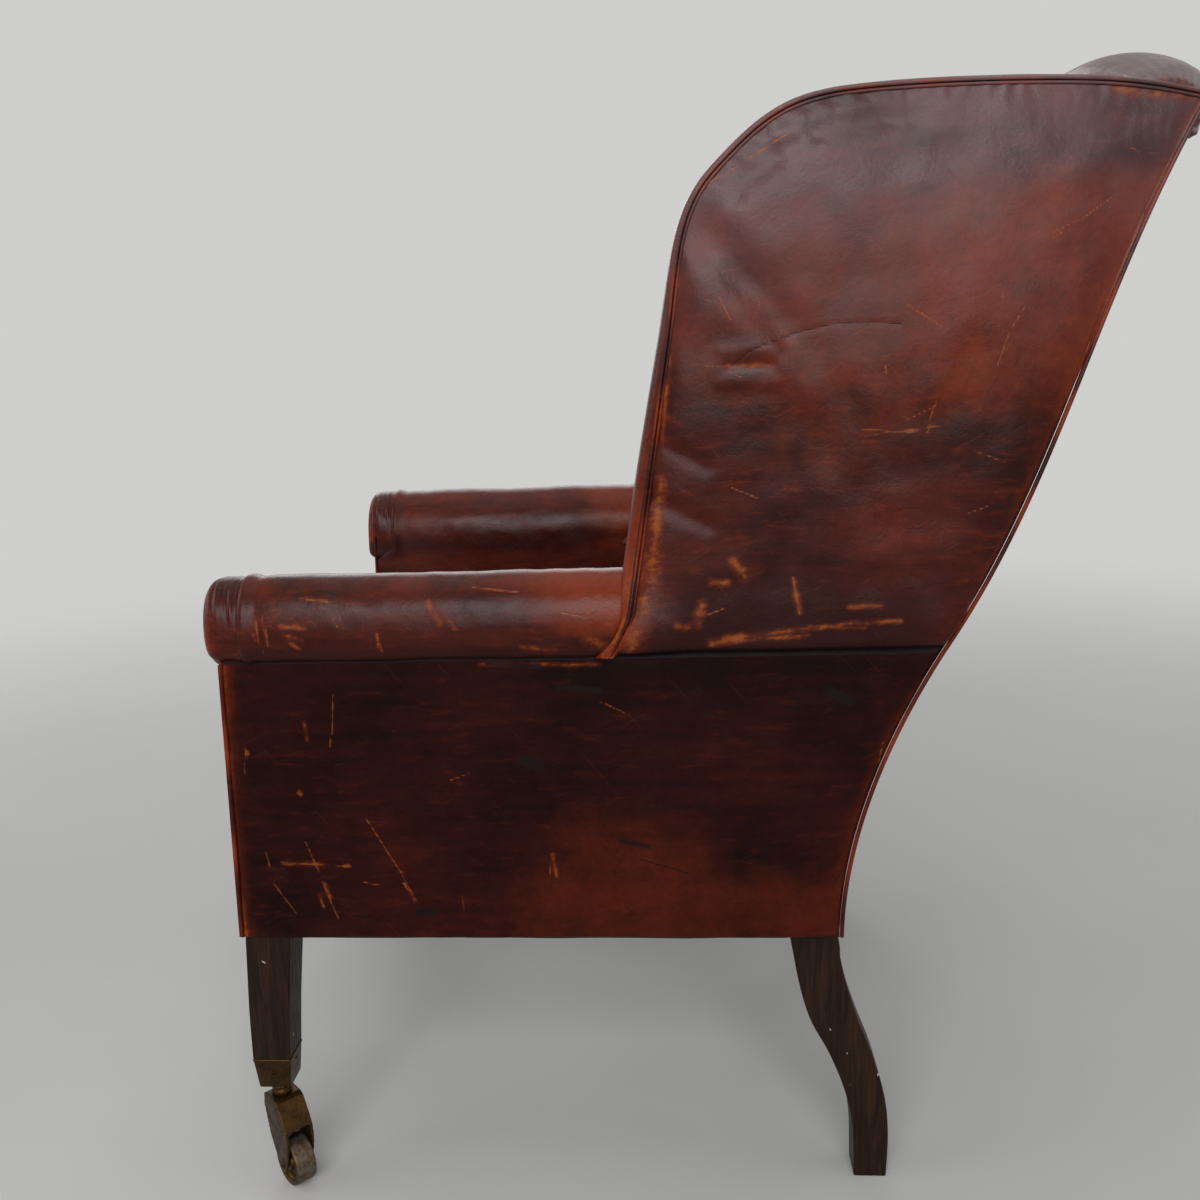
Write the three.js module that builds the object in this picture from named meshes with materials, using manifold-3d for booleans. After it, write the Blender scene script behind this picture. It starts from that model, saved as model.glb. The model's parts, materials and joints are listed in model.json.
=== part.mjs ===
// Worn club chair: a winged, scroll-armed leather armchair with sabre back legs and
// two cup castors in front. Millimetres, +Z up, the sitter faces -Y, +X is the sitter's left.
import * as THREE from 'three';
import * as BufferGeometryUtils from 'three/addons/utils/BufferGeometryUtils.js';
import Module from 'manifold-3d';

const wasm = await Module();
wasm.setup();

// Clearance between pieces that touch on the real chair
const GAP = 0.3;

// Overall outline, seen from the front and from the side (y runs back from the seat front)
const HALF_WIDTH = 350;
const BASE_Z = 283;
const CREASE_Z = 568.6;
const ARM_TOP_Z = 646;
const CREST_TOP_Z = 1116;
const WING_BELOW_CREST = 61;
const CORNER_BELOW_WING = 20;
const BASE_DEPTH = 595;
const CREASE_DEPTH = 684;
const CORNER_DEPTH = 883;
const WING_FRONT_Y = 381;
const FRONT_LEAN = 0.028;
const BASE_BOW = 1.9;
const RAKE_STRAIGHT = 0.814;
const RAKE_BEND = 0.722;
const RAKE_BEND_MIDDLE = 0.55;

// Leather covers and stuffing
const ROLL_OVERHANG = 13.5;
const WING_SET_IN = 5;
const ARM_WIDTH = 93;
const COVER = 2.2;
const BACK_COVER = 3;
const FACING = 4;
const BORDER = 8;
const ARM_PAD_THICKNESS = 46.5;
const BACK_PAD_THICKNESS = 55;
const BACK_PAD_TOP_THICKNESS = 14;
const BACK_PAD_THIN_Z = 850;
const DECK_THICKNESS = 14;
const CUSHION_HEIGHT = 84;
const CUSHION_CROWN = 8;
const CUSHION_SHOULDER = 0.3;
const CUSHION_SHOULDER_RISE = 0.6;
const CUSHION_CORNER_R = 26;
const CUSHION_EDGE_R = 14;
const CUSHION_FRONT_Y = 6;

// Scroll of the arm
const ROLL_OUTER_R = 39;
const ROLL_BULGE_Z = 597;
const ROLL_INNER_Z = 585;

// Rolled head of the back
const ROLL_END_SET_IN = 12;
const CREST_ARCH = 73;
const HEAD_Y = 893;
const HEAD_END_SHIFT = 47;
const HEAD_HALF_DEPTH = 74;
const HEAD_END_HALF_DEPTH = 30;
const HEAD_HALF_HEIGHT = 45;
const HEAD_END_HALF_HEIGHT = 25;

// Timber frame
const POST_SET_IN = 38;
const POST_THICKNESS = 36;
const POST_DEPTH = 47;
const RAIL_HEIGHT = 98;
const SEAT_RAIL_THICKNESS = 28;
const ARM_RAIL_HEIGHT = 36;
const STUMP_THICKNESS = 30;
const LEG_TOP = 46;
const WING_FRAME_WIDTH = 44;
const STAY_RAIL_Z = 425;
const STAY_RAIL_HEIGHT = 48;
const CREST_RAIL_BELOW_CREST = 166;
const POST_BELOW_CREST = 120;
const RAIL_LIFT = 3;
const FOOT_DEPTH = 33;
const FOOT_BEHIND_BASE = 50.5;
const FOOT_KICK_REAR = 50;
const FOOT_KICK_FRONT = 64;

// Webbing, springs and bottoming cloth
const WEB_WIDTH = 50;
const WEB_THICKNESS = 1.4;
const WEB_PRESS = 0.2;
const SEAT_WEB_PITCH = 100;
const SEAT_WEB_PITCH_Y = 95;
const BACK_WEB_PITCH = 125;
const CLOTH_THICKNESS = 1.2;
const SPRING_WIRE_R = 2;
const SPRING_END_R = 40;
const SPRING_WAIST_R = 26;
const SPRING_TURNS = 4;
const SPRING_SIDE_ROOM = 32;
const SPRING_PITCH_Y = 145;
const SPRING_FRONT_Y = 110;

// Cup castor
const CUP_TOP_Z = 145;
const CUP_BOTTOM_Z = 111;
const CUP_TOP = 39.2;
const CUP_BOTTOM = 33.5;
const CUP_WALL = 1.8;
const CUP_FLOOR = 3;
const CUP_LIP = 0.4;
const CUP_LIP_HEIGHT = 2.5;
const CUP_FRONT_Y = -1.7;
const CUP_PIN_R = 2.4;
const CUP_PIN_LENGTH = 12;
const CUP_PIN_PROUD = 1;
const CUP_PIN_DROP = 6.8;
const NECK_R = 10;
const NECK_GROOVE_R = 8.2;
const NECK_RING = 3;
const NECK_BOTTOM_Z = 96;
const PINTLE_R = 4;
const PINTLE_BOTTOM_Z = 84;
const TRAIL = 18;
const TRAIL_ANGLE = 45;
const WHEEL_R = 24.5;
const WHEEL_WIDTH = 22;
const WHEEL_RIM = 4;
const WHEEL_EDGE = 1.4;
const WHEEL_WEB_HALF = 6;
const HUB_R = 8;
const AXLE_R = 3;
const AXLE_HEAD_R = 5;
const AXLE_HEAD = 1.6;
const HORN_CHEEK = 3.2;
const WHEEL_SIDE_GAP = 1.2;
const WHEEL_TREAD_GAP = 2.2;
const HORN_EYE_R = 8.5;

// Sizes worked out from the ones above
const WING_TOP_Z = CREST_TOP_Z - WING_BELOW_CREST;
const CORNER_Z = WING_TOP_Z - CORNER_BELOW_WING;
const CREST_RAIL_Z = CREST_TOP_Z - CREST_RAIL_BELOW_CREST;
const POST_TOP_Z = CREST_TOP_Z - POST_BELOW_CREST;
const SIDE_FACE_X = HALF_WIDTH - ROLL_OVERHANG;
const WING_FACE_X = HALF_WIDTH - WING_SET_IN;
const ARM_INNER_X = HALF_WIDTH - ARM_WIDTH;
const ROLL_CENTRE_X = HALF_WIDTH - ROLL_OUTER_R;
const ROLL_END_X = HALF_WIDTH - ROLL_END_SET_IN;
const POST_FACE_X = HALF_WIDTH - POST_SET_IN;
const SPRING_PITCH_X = (2 * (ARM_INNER_X - SPRING_SIDE_ROOM)) / 3;
const FOOT_BACK_Y = BASE_DEPTH + FOOT_BEHIND_BASE;
const FRAME_FACE_X = SIDE_FACE_X - COVER - GAP;
const RAIL_INNER_X = POST_FACE_X + GAP;
const RAIL_BOTTOM_Z = BASE_Z + RAIL_LIFT;
const RAIL_TOP_Z = RAIL_BOTTOM_Z + RAIL_HEIGHT;
const WEB_TOP_Z = RAIL_BOTTOM_Z - GAP;
const WEB_BOTTOM_Z = WEB_TOP_Z - WEB_THICKNESS;
const CLOTH_TOP_Z = WEB_BOTTOM_Z - GAP;
const DECK_BOTTOM_Z = RAIL_TOP_Z + GAP;
const DECK_TOP_Z = DECK_BOTTOM_Z + DECK_THICKNESS;
const POST_REAR_INSET = BACK_COVER + GAP;
const POST_FRONT_INSET = POST_REAR_INSET + POST_DEPTH;
const BACK_WEB_INSET = POST_FRONT_INSET + GAP;
const BACK_PAD_REAR_INSET = BACK_WEB_INSET + WEB_THICKNESS + GAP;
const BACK_PAD_FRONT_INSET = BACK_PAD_REAR_INSET + BACK_PAD_THICKNESS;
const CREST_RAIL_TOP_Z = CREST_TOP_Z - CREST_ARCH - 2 * GAP;
const PAD_HALF_WIDTH = ARM_INNER_X - GAP;
const ARM_PAD_OUTER_X = ARM_INNER_X + ARM_PAD_THICKNESS;
const LEG_FRONT_Y = FACING + GAP;
const LEG_INNER_X = FRAME_FACE_X - LEG_TOP;
const CASTOR_X = FRAME_FACE_X - CUP_TOP / 2 - CUP_LIP;
const CASTOR_Y = CUP_FRONT_Y + CUP_TOP / 2;
const FAR = 2000;
const SIDE_STEPS = 16;
const ARC_STEPS = 5;
const ROUND = 18;

// Colours and finishes
const leather = { color: 0x4a1a10, roughness: 0.34, metalness: 0 };
const darkOak = { color: 0x2b1a12, roughness: 0.6, metalness: 0 };
const frameTimber = { color: 0xb08a5c, roughness: 0.75, metalness: 0 };
const agedBrass = { color: 0x7a5a2c, roughness: 0.42, metalness: 1 };
const springSteel = { color: 0x6a6a6a, roughness: 0.5, metalness: 1 };
const juteWebbing = { color: 0x9a8058, roughness: 0.95, metalness: 0 };
const blackCloth = { color: 0x15130f, roughness: 0.95, metalness: 0 };

// Geometry helpers

// Turns the faces outwards, by the sign of the enclosed volume, and merges the vertices.
function closed(geometry) {
  const bare = geometry.index ? geometry.clone() : geometry;
  bare.deleteAttribute('normal');
  bare.deleteAttribute('uv');
  const merged = BufferGeometryUtils.mergeVertices(bare, 1e-4);
  const p = merged.attributes.position;
  const index = merged.index.array;
  const kept = [];
  const a = new THREE.Vector3();
  const b = new THREE.Vector3();
  const c = new THREE.Vector3();
  let volume = 0;
  for (let i = 0; i < index.length; i += 3) {
    const [i0, i1, i2] = [index[i], index[i + 1], index[i + 2]];
    if (i0 === i1 || i1 === i2 || i2 === i0) continue;
    a.fromBufferAttribute(p, i0);
    b.fromBufferAttribute(p, i1);
    c.fromBufferAttribute(p, i2);
    volume += a.dot(b.cross(c));
    kept.push(i0, i1, i2);
  }
  if (volume < 0) {
    for (let i = 0; i < kept.length; i += 3) {
      [kept[i + 1], kept[i + 2]] = [kept[i + 2], kept[i + 1]];
    }
  }
  merged.setIndex(kept);
  return merged;
}

function solid(geometry) {
  const g = closed(geometry);
  return new wasm.Manifold(new wasm.Mesh({
    numProp: 3,
    vertProperties: new Float32Array(g.attributes.position.array),
    triVerts: new Uint32Array(g.index.array),
  }));
}

function geometryOf(manifold) {
  const mesh = manifold.getMesh();
  const geometry = new THREE.BufferGeometry();
  const position = new THREE.BufferAttribute(new Float32Array(mesh.vertProperties), 3);
  geometry.setAttribute('position', position);
  geometry.setIndex(Array.from(mesh.triVerts));
  return geometry;
}

function cut(body, ...tools) {
  return geometryOf(tools.reduce((rest, tool) => rest.subtract(solid(tool)), solid(body)));
}

function common(body, ...tools) {
  return geometryOf(tools.reduce((rest, tool) => rest.intersect(solid(tool)), solid(body)));
}

function join(...bodies) {
  return geometryOf(bodies.map(solid).reduce((sum, part) => sum.add(part)));
}

function extruded(points, depth) {
  const shape = new THREE.Shape(points.map(([u, v]) => new THREE.Vector2(u, v)));
  return new THREE.ExtrudeGeometry(shape, { depth, bevelEnabled: false, steps: 1 });
}

// An outline in the side view (y, z), carried across from x0 to x1.
function sideSlab(points, x0, x1) {
  const geometry = extruded(points, x1 - x0);
  geometry.applyMatrix4(new THREE.Matrix4().makeBasis(
    new THREE.Vector3(0, 1, 0), new THREE.Vector3(0, 0, 1), new THREE.Vector3(1, 0, 0)));
  return geometry.translate(x0, 0, 0);
}

// An outline in the front view (x, z), carried back from y0 to y1.
function frontSlab(points, y0, y1) {
  return extruded(points, y1 - y0).rotateX(Math.PI / 2).translate(0, y1, 0);
}

// An outline in the plan (x, y), carried up from z0 to z1.
const planSlab = (points, z0, z1) => extruded(points, z1 - z0).translate(0, 0, z0);

function block(x0, x1, y0, y1, z0, z1) {
  const geometry = new THREE.BoxGeometry(x1 - x0, y1 - y0, z1 - z0);
  return geometry.translate((x0 + x1) / 2, (y0 + y1) / 2, (z0 + z1) / 2);
}

// The front of the base and arms leans: it moves back with height.
function leant(geometry) {
  const shear = new THREE.Matrix4().makeShear(0, 0, 0, 0, 0, FRONT_LEAN);
  return geometry.applyMatrix4(shear).translate(0, -FRONT_LEAN * BASE_Z, 0);
}

// A skin through rings with equal numbers of points, closed by a fan at each end.
function loft(rings) {
  const size = rings[0].length;
  const vertices = rings.flat(2);
  const triangles = [];
  for (let r = 0; r + 1 < rings.length; r += 1) {
    for (let i = 0; i < size; i += 1) {
      const next = (i + 1) % size;
      const [a, b] = [r * size + i, r * size + next];
      triangles.push(a, b, b + size, a, b + size, a + size);
    }
  }
  [0, rings.length - 1].forEach((r) => {
    const centre = [0, 1, 2].map((k) => rings[r].reduce((sum, point) => sum + point[k], 0) / size);
    const tip = vertices.length / 3;
    vertices.push(...centre);
    for (let i = 0; i < size; i += 1) {
      const [a, b] = [r * size + i, r * size + ((i + 1) % size)];
      triangles.push(...(r === 0 ? [tip, b, a] : [tip, a, b]));
    }
  });
  const geometry = new THREE.BufferGeometry();
  geometry.setAttribute('position', new THREE.Float32BufferAttribute(vertices, 3));
  geometry.setIndex(triangles);
  return geometry;
}

const squareRing = (x0, x1, y0, y1, z) => [[x0, y0, z], [x1, y0, z], [x1, y1, z], [x0, y1, z]];

// Part of an ellipse, from one angle to another in degrees.
function arc(cx, cy, rx, ry, from, to) {
  return Array.from({ length: ARC_STEPS + 1 }, (_, i) => {
    const angle = THREE.MathUtils.degToRad(from + ((to - from) * i) / ARC_STEPS);
    return [cx + rx * Math.cos(angle), cy + ry * Math.sin(angle)];
  });
}

function spaced(from, to, count) {
  return Array.from({ length: count + 1 }, (_, i) => from + ((to - from) * i) / count);
}

// Side view lines

// Depth of the outside back at a height: it bows back up to the crease, then rakes on
// with an ever steeper top, so that the back sweeps away from the sitter.
function backAt(z) {
  const low = (z - BASE_Z) / (CREASE_Z - BASE_Z);
  const high = (z - CREASE_Z) / (CORNER_Z - CREASE_Z);
  if (high < 0) return BASE_DEPTH + (CREASE_DEPTH - BASE_DEPTH) * Math.max(low, 0) ** BASE_BOW;
  const middle = RAKE_BEND_MIDDLE;
  const sweep = (share) => RAKE_STRAIGHT * share + RAKE_BEND * ((share - middle) ** 3 + middle ** 3);
  return CREASE_DEPTH + ((CORNER_DEPTH - CREASE_DEPTH) * sweep(high)) / sweep(1);
}

// Everything in front of the back line, moved forward by an inset that may vary with height.
function aheadOfBack(inset, x0, x1) {
  const top = CREST_TOP_Z;
  const insetAt = typeof inset === 'function' ? inset : () => inset;
  const line = spaced(0, top, SIDE_STEPS * 1.5).map((z) => [backAt(z) - insetAt(z), z]);
  return sideSlab([[-FAR, 0], ...line, [-FAR, top]], x0, x1);
}

// The inside back's leather: the stuffing thins out smoothly towards the head roll.
function insideBackInset(z) {
  const share = THREE.MathUtils.smoothstep(z, BACK_PAD_THIN_Z, CREST_RAIL_TOP_Z);
  return BACK_PAD_REAR_INSET + THREE.MathUtils.lerp(BACK_PAD_THICKNESS, BACK_PAD_TOP_THICKNESS, share);
}

// The wing's front and top edge, as shares of its depth and height.
const wingEdge = new THREE.SplineCurve([
  [-0.02, -0.1], [0, 0], [0.048, 0.302], [0.097, 0.571], [0.14, 0.79], [0.218, 0.9], [0.337, 0.98],
  [0.52, 1], [0.82, 0.992], [1, (CORNER_Z - CREASE_Z) / (WING_TOP_Z - CREASE_Z)], [1.12, 0.92],
].map(([run, rise]) => new THREE.Vector2(
  WING_FRONT_Y + run * (CORNER_DEPTH - WING_FRONT_Y),
  CREASE_Z + rise * (WING_TOP_Z - CREASE_Z),
)));

// Everything behind and below the wing's edge, moved inwards by an inset.
function withinWing(inset, x0, x1) {
  const line = spaced(0, 1, SIDE_STEPS).map((t) => {
    const point = wingEdge.getPoint(t);
    const along = wingEdge.getTangent(t);
    return [point.x + along.y * inset, point.y - along.x * inset];
  });
  return sideSlab([...line, [FAR, line[line.length - 1][1]], [FAR, line[0][1]]], x0, x1);
}

// Front view lines

// The scroll of the arm, from its crease outside, over the top, to the inner face.
function scroll() {
  const underRise = ROLL_BULGE_Z - CREASE_Z;
  const outerRise = ARM_TOP_Z - ROLL_BULGE_Z;
  const innerRise = ARM_TOP_Z - ROLL_INNER_Z;
  const innerR = ROLL_CENTRE_X - ARM_INNER_X;
  return [
    ...arc(SIDE_FACE_X, ROLL_BULGE_Z, ROLL_OVERHANG, underRise, -90, 0),
    ...arc(ROLL_CENTRE_X, ROLL_BULGE_Z, ROLL_OUTER_R, outerRise, 0, 90).slice(1),
    ...arc(ROLL_CENTRE_X, ROLL_INNER_Z, innerR, innerRise, 90, 180).slice(1),
  ];
}

// The rolled head of the back: an ellipse carried across the chair on a low arch, which
// gets smaller towards the wings and comes forward to their top corners.
function headRoll(grow) {
  const rings = spaced(-ROLL_END_X, ROLL_END_X, SIDE_STEPS).map((x) => {
    const share = (x / ROLL_END_X) ** 2;
    const halfDepth = HEAD_HALF_DEPTH + (HEAD_END_HALF_DEPTH - HEAD_HALF_DEPTH) * share + grow;
    const halfHeight = HEAD_HALF_HEIGHT + (HEAD_END_HALF_HEIGHT - HEAD_HALF_HEIGHT) * share + grow;
    const centreZ = CREST_TOP_Z - CREST_ARCH * share - halfHeight + grow;
    const centreY = HEAD_Y - HEAD_END_SHIFT * share;
    const edgeX = x + Math.sign(x) * (Math.abs(x) === ROLL_END_X ? grow : 0);
    return spaced(0, 1, ROUND).slice(0, ROUND).map((turn) => {
      const angle = turn * 2 * Math.PI;
      return [edgeX, centreY + halfDepth * Math.cos(angle), centreZ + halfHeight * Math.sin(angle)];
    });
  });
  return loft(rings);
}

const headCutter = headRoll(GAP);

// The corner behind the roll's end, where nothing of the wing's inside is left.
function behindHead() {
  const low = CREST_TOP_Z - CREST_ARCH - 2 * HEAD_END_HALF_HEIGHT - GAP;
  return block(0, HALF_WIDTH, HEAD_Y - HEAD_END_SHIFT, FAR, low, FAR);
}

// Everything below the arched underside of the head roll.
function belowHead() {
  const line = spaced(-ROLL_END_X, ROLL_END_X, SIDE_STEPS).map((x) => {
    const share = (x / ROLL_END_X) ** 2;
    const height = 2 * THREE.MathUtils.lerp(HEAD_HALF_HEIGHT, HEAD_END_HALF_HEIGHT, share);
    return [x, CREST_TOP_Z - CREST_ARCH * share - height - GAP];
  });
  return frontSlab([[-ROLL_END_X, 0], ...line, [ROLL_END_X, 0]], 0, FAR);
}

// A board that follows the back, between two insets from its line, two sides and two heights.
function backBoard(rear, front, x0, x1, z0, z1) {
  return cut(
    common(aheadOfBack(rear, x0, x1), block(-FAR, FAR, 0, FAR, z0, z1)),
    aheadOfBack(front, -FAR, FAR),
  );
}

// Timber frame, left side

function frontLeg() {
  const top = FRAME_FACE_X;
  const tenon = CUP_WALL + GAP;
  const cupOuterX = CASTOR_X + CUP_TOP / 2;
  const cupInnerX = CASTOR_X - CUP_TOP / 2;
  const lowHalf = CUP_BOTTOM / 2 - tenon;
  const blockLean = FRONT_LEAN * (RAIL_TOP_Z - BASE_Z);
  const back = LEG_FRONT_Y + LEG_TOP;
  const leg = loft([
    squareRing(LEG_INNER_X, top, LEG_FRONT_Y + blockLean, back + blockLean, RAIL_TOP_Z),
    squareRing(LEG_INNER_X, top, LEG_FRONT_Y, back, BASE_Z),
    squareRing(cupInnerX, cupOuterX, CUP_FRONT_Y, CUP_FRONT_Y + CUP_TOP, CUP_TOP_Z + GAP),
    squareRing(cupInnerX + tenon, cupOuterX - tenon, CUP_FRONT_Y + tenon, CUP_FRONT_Y + CUP_TOP - tenon,
      CUP_TOP_Z + GAP),
    squareRing(CASTOR_X - lowHalf, CASTOR_X + lowHalf, CASTOR_Y - lowHalf, CASTOR_Y + lowHalf,
      CUP_BOTTOM_Z + CUP_FLOOR + GAP),
  ]);
  return cut(leg, outerPin(GAP), rearPin(GAP));
}

// Sabre leg and raked upright in one. Each edge below the seat runs from its end on the
// floor; its points are shares of how far that edge sweeps forward and of the base height.
function rearPost() {
  const edge = (start, kick, points) => new THREE.SplineCurve(
    points.map(([run, rise]) => new THREE.Vector2(start - run * kick, rise * BASE_Z)));
  const frontEdge = edge(FOOT_BACK_Y - FOOT_DEPTH, FOOT_KICK_FRONT, [
    [0, 0], [0.03, 0.2], [0.16, 0.35], [0.41, 0.5], [0.7, 0.63], [0.875, 0.77], [0.99, 0.92],
  ]);
  const rearEdge = edge(FOOT_BACK_Y, FOOT_KICK_REAR, [
    [0, 0], [-0.03, 0.16], [0.04, 0.31], [0.27, 0.47], [0.58, 0.62], [0.83, 0.76], [0.98, 0.88],
  ]);
  const shoulder = backAt(BASE_Z);
  const outline = [
    ...rearEdge.getPoints(ARC_STEPS * 2).map((p) => [p.x, p.y]),
    [shoulder - POST_REAR_INSET, BASE_Z - GAP],
    [shoulder - POST_REAR_INSET, RAIL_BOTTOM_Z + GAP],
    [shoulder - POST_FRONT_INSET, RAIL_BOTTOM_Z + GAP],
    ...frontEdge.getPoints(ARC_STEPS * 2).reverse().map((p) => [p.x, p.y]),
  ];
  const [x0, x1] = [POST_FACE_X - POST_THICKNESS, POST_FACE_X];
  const upright = backBoard(POST_REAR_INSET, POST_FRONT_INSET, x0, x1, RAIL_BOTTOM_Z, POST_TOP_Z);
  return cut(join(sideSlab(outline, x0, x1), upright), headCutter);
}

function sideRail(z0, z1) {
  const front = LEG_FRONT_Y + LEG_TOP + GAP;
  return common(
    leant(block(RAIL_INNER_X, FRAME_FACE_X, front, CORNER_DEPTH, z0, z1)),
    aheadOfBack(POST_REAR_INSET, 0, HALF_WIDTH),
  );
}

const armStump = () => leant(block(
  FRAME_FACE_X - STUMP_THICKNESS, FRAME_FACE_X, LEG_FRONT_Y, LEG_FRONT_Y + LEG_TOP,
  RAIL_TOP_Z + GAP, CREASE_Z - GAP));

// A flat frame with an open middle: front upright, top rail, bottom rail and back upright.
function wingFrame() {
  const inset = BORDER + GAP;
  const low = CREASE_Z + GAP;
  const board = common(
    withinWing(inset, RAIL_INNER_X, FRAME_FACE_X),
    aheadOfBack(POST_REAR_INSET, 0, HALF_WIDTH),
    block(0, HALF_WIDTH, 0, FAR, low, FAR),
  );
  const window = common(
    withinWing(inset + WING_FRAME_WIDTH, 0, HALF_WIDTH),
    aheadOfBack(POST_REAR_INSET + WING_FRAME_WIDTH, 0, HALF_WIDTH),
    block(0, HALF_WIDTH, 0, FAR, low + WING_FRAME_WIDTH, FAR),
  );
  return cut(board, window, headCutter, behindHead());
}

// Timber frame, middle

const frontRail = () => leant(block(
  -(LEG_INNER_X - GAP), LEG_INNER_X - GAP, LEG_FRONT_Y, LEG_FRONT_Y + SEAT_RAIL_THICKNESS,
  RAIL_BOTTOM_Z, RAIL_TOP_Z));

const betweenPosts = POST_FACE_X - POST_THICKNESS - GAP;
const railAcross = (rear, front, z0, z1) => backBoard(rear, front, -betweenPosts, betweenPosts, z0, z1);

function backRail() {
  return railAcross(POST_REAR_INSET, POST_REAR_INSET + SEAT_RAIL_THICKNESS, RAIL_BOTTOM_Z, RAIL_TOP_Z);
}

function stayRail() {
  const rear = POST_FRONT_INSET - SEAT_RAIL_THICKNESS;
  return railAcross(rear, POST_FRONT_INSET, STAY_RAIL_Z, STAY_RAIL_Z + STAY_RAIL_HEIGHT);
}

function crestRail() {
  return common(railAcross(POST_REAR_INSET, POST_FRONT_INSET, CREST_RAIL_Z, CREST_TOP_Z), belowHead());
}

// Webbing, springs, cloth

// The crossing strips are joined where they are woven; the ones across are pressed a little
// flatter than the ones along.
function seatWebbing() {
  const half = WEB_WIDTH / 2;
  const frontY = LEG_FRONT_Y + FRONT_LEAN * (WEB_TOP_Z - BASE_Z) + GAP;
  const backY = backAt(BASE_Z) - POST_REAR_INSET - GAP;
  const acrossBottom = WEB_BOTTOM_Z + WEB_PRESS;
  const acrossTop = WEB_TOP_Z - WEB_PRESS;
  const strips = [0, 1, 2, 3, 4].flatMap((i) => {
    const x = (i - 2) * SEAT_WEB_PITCH;
    const y = SPRING_FRONT_Y + i * SEAT_WEB_PITCH_Y;
    return [
      block(x - half, x + half, frontY, backY, WEB_BOTTOM_Z, WEB_TOP_Z),
      block(-FRAME_FACE_X, FRAME_FACE_X, y - half, y + half, acrossBottom, acrossTop),
    ];
  });
  return join(...strips);
}

function backWebbing() {
  const half = WEB_WIDTH / 2;
  const middleZ = (STAY_RAIL_Z + STAY_RAIL_HEIGHT / 2 + CREST_RAIL_Z) / 2;
  const steps = [-1.5, -0.5, 0.5, 1.5].map((i) => i * BACK_WEB_PITCH);
  const highZ = CREST_RAIL_Z + half;
  const sheet = (press, x0, x1, z0, z1) => backBoard(
    BACK_WEB_INSET + press, BACK_WEB_INSET + WEB_THICKNESS - press, x0, x1, z0, z1);
  const along = steps.map((x) => sheet(0, x - half, x + half, STAY_RAIL_Z, highZ));
  const across = steps.map((z) => sheet(
    WEB_PRESS, -POST_FACE_X, POST_FACE_X, middleZ + z - half, middleZ + z + half));
  return join(...along, ...across);
}

// An hourglass spring: a helix whose radius narrows to a waist at half height.
class SpringCurve extends THREE.Curve {
  getPoint(t, target = new THREE.Vector3()) {
    const angle = t * SPRING_TURNS * 2 * Math.PI;
    const radius = SPRING_WAIST_R + (SPRING_END_R - SPRING_WAIST_R) * Math.abs(2 * t - 1) ** 1.5;
    const bottom = WEB_TOP_Z + GAP + SPRING_WIRE_R;
    const top = RAIL_TOP_Z - SPRING_WIRE_R;
    return target.set(radius * Math.cos(angle), radius * Math.sin(angle), bottom + (top - bottom) * t);
  }
}

function seatSpring() {
  const wireSides = 4;
  const stepsPerTurn = 8;
  const section = new THREE.Shape(spaced(0, 2 * Math.PI, wireSides).slice(0, wireSides)
    .map((angle) => new THREE.Vector2(SPRING_WIRE_R * Math.cos(angle), SPRING_WIRE_R * Math.sin(angle))));
  return new THREE.ExtrudeGeometry(section, {
    steps: SPRING_TURNS * stepsPerTurn, extrudePath: new SpringCurve(), bevelEnabled: false,
  });
}

function bottomCloth() {
  const play = 2 * GAP;
  const legInner = LEG_INNER_X - play;
  const legBack = LEG_FRONT_Y + LEG_TOP + play;
  const postInner = POST_FACE_X - POST_THICKNESS - play;
  const postFront = backAt(BASE_Z) - POST_FRONT_INSET - play;
  const side = FRAME_FACE_X - GAP;
  const front = LEG_FRONT_Y + play;
  const back = backAt(BASE_Z) - BACK_COVER - play;
  const half = [[legInner, front], [legInner, legBack], [side, legBack], [side, postFront],
    [postInner, postFront], [postInner, back]];
  const mirrored = half.map(([x, y]) => [-x, y]).reverse();
  return planSlab([...half, ...mirrored], CLOTH_TOP_Z - CLOTH_THICKNESS, CLOTH_TOP_Z);
}

// Leather-covered stuffing, left side

function armPad() {
  const section = [
    ...scroll(),
    [ARM_INNER_X, DECK_BOTTOM_Z],
    [ARM_PAD_OUTER_X, DECK_BOTTOM_Z],
    [ARM_PAD_OUTER_X, CREASE_Z],
  ];
  const whole = leant(frontSlab(section, LEG_FRONT_Y, CORNER_DEPTH));
  const bar = common(whole, aheadOfBack(BACK_PAD_REAR_INSET, 0, HALF_WIDTH));
  const underWing = common(withinWing(-GAP, 0, FAR), block(0, FAR, 0, FAR, CREASE_Z, FAR));
  return cut(bar, underWing);
}

function armFacing() {
  const outline = [...scroll(), [ARM_INNER_X, BASE_Z], [SIDE_FACE_X, BASE_Z]];
  return leant(frontSlab(outline, 0, FACING));
}

function outsideArm() {
  const x0 = FRAME_FACE_X + GAP;
  const sheet = leant(block(x0, SIDE_FACE_X, FACING + GAP, CORNER_DEPTH, BASE_Z, CREASE_Z - GAP));
  return common(sheet, aheadOfBack(0, 0, HALF_WIDTH));
}

function wingShape(inset, rear, x0, x1) {
  return common(
    withinWing(inset, x0, x1),
    aheadOfBack(rear, 0, HALF_WIDTH),
    block(0, HALF_WIDTH, 0, FAR, CREASE_Z + GAP, FAR),
  );
}

const outsideWing = () => cut(wingShape(0, 0, FRAME_FACE_X + GAP, WING_FACE_X), headCutter);

function wingPad() {
  const pad = wingShape(BORDER + GAP, BACK_PAD_REAR_INSET, ARM_INNER_X, RAIL_INNER_X - GAP);
  return cut(pad, headCutter, behindHead());
}

function wingBorder() {
  const whole = wingShape(0, POST_REAR_INSET, ARM_INNER_X, FRAME_FACE_X);
  return cut(whole, withinWing(BORDER, 0, FAR), headCutter, behindHead());
}

// Leather-covered stuffing, middle

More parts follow.
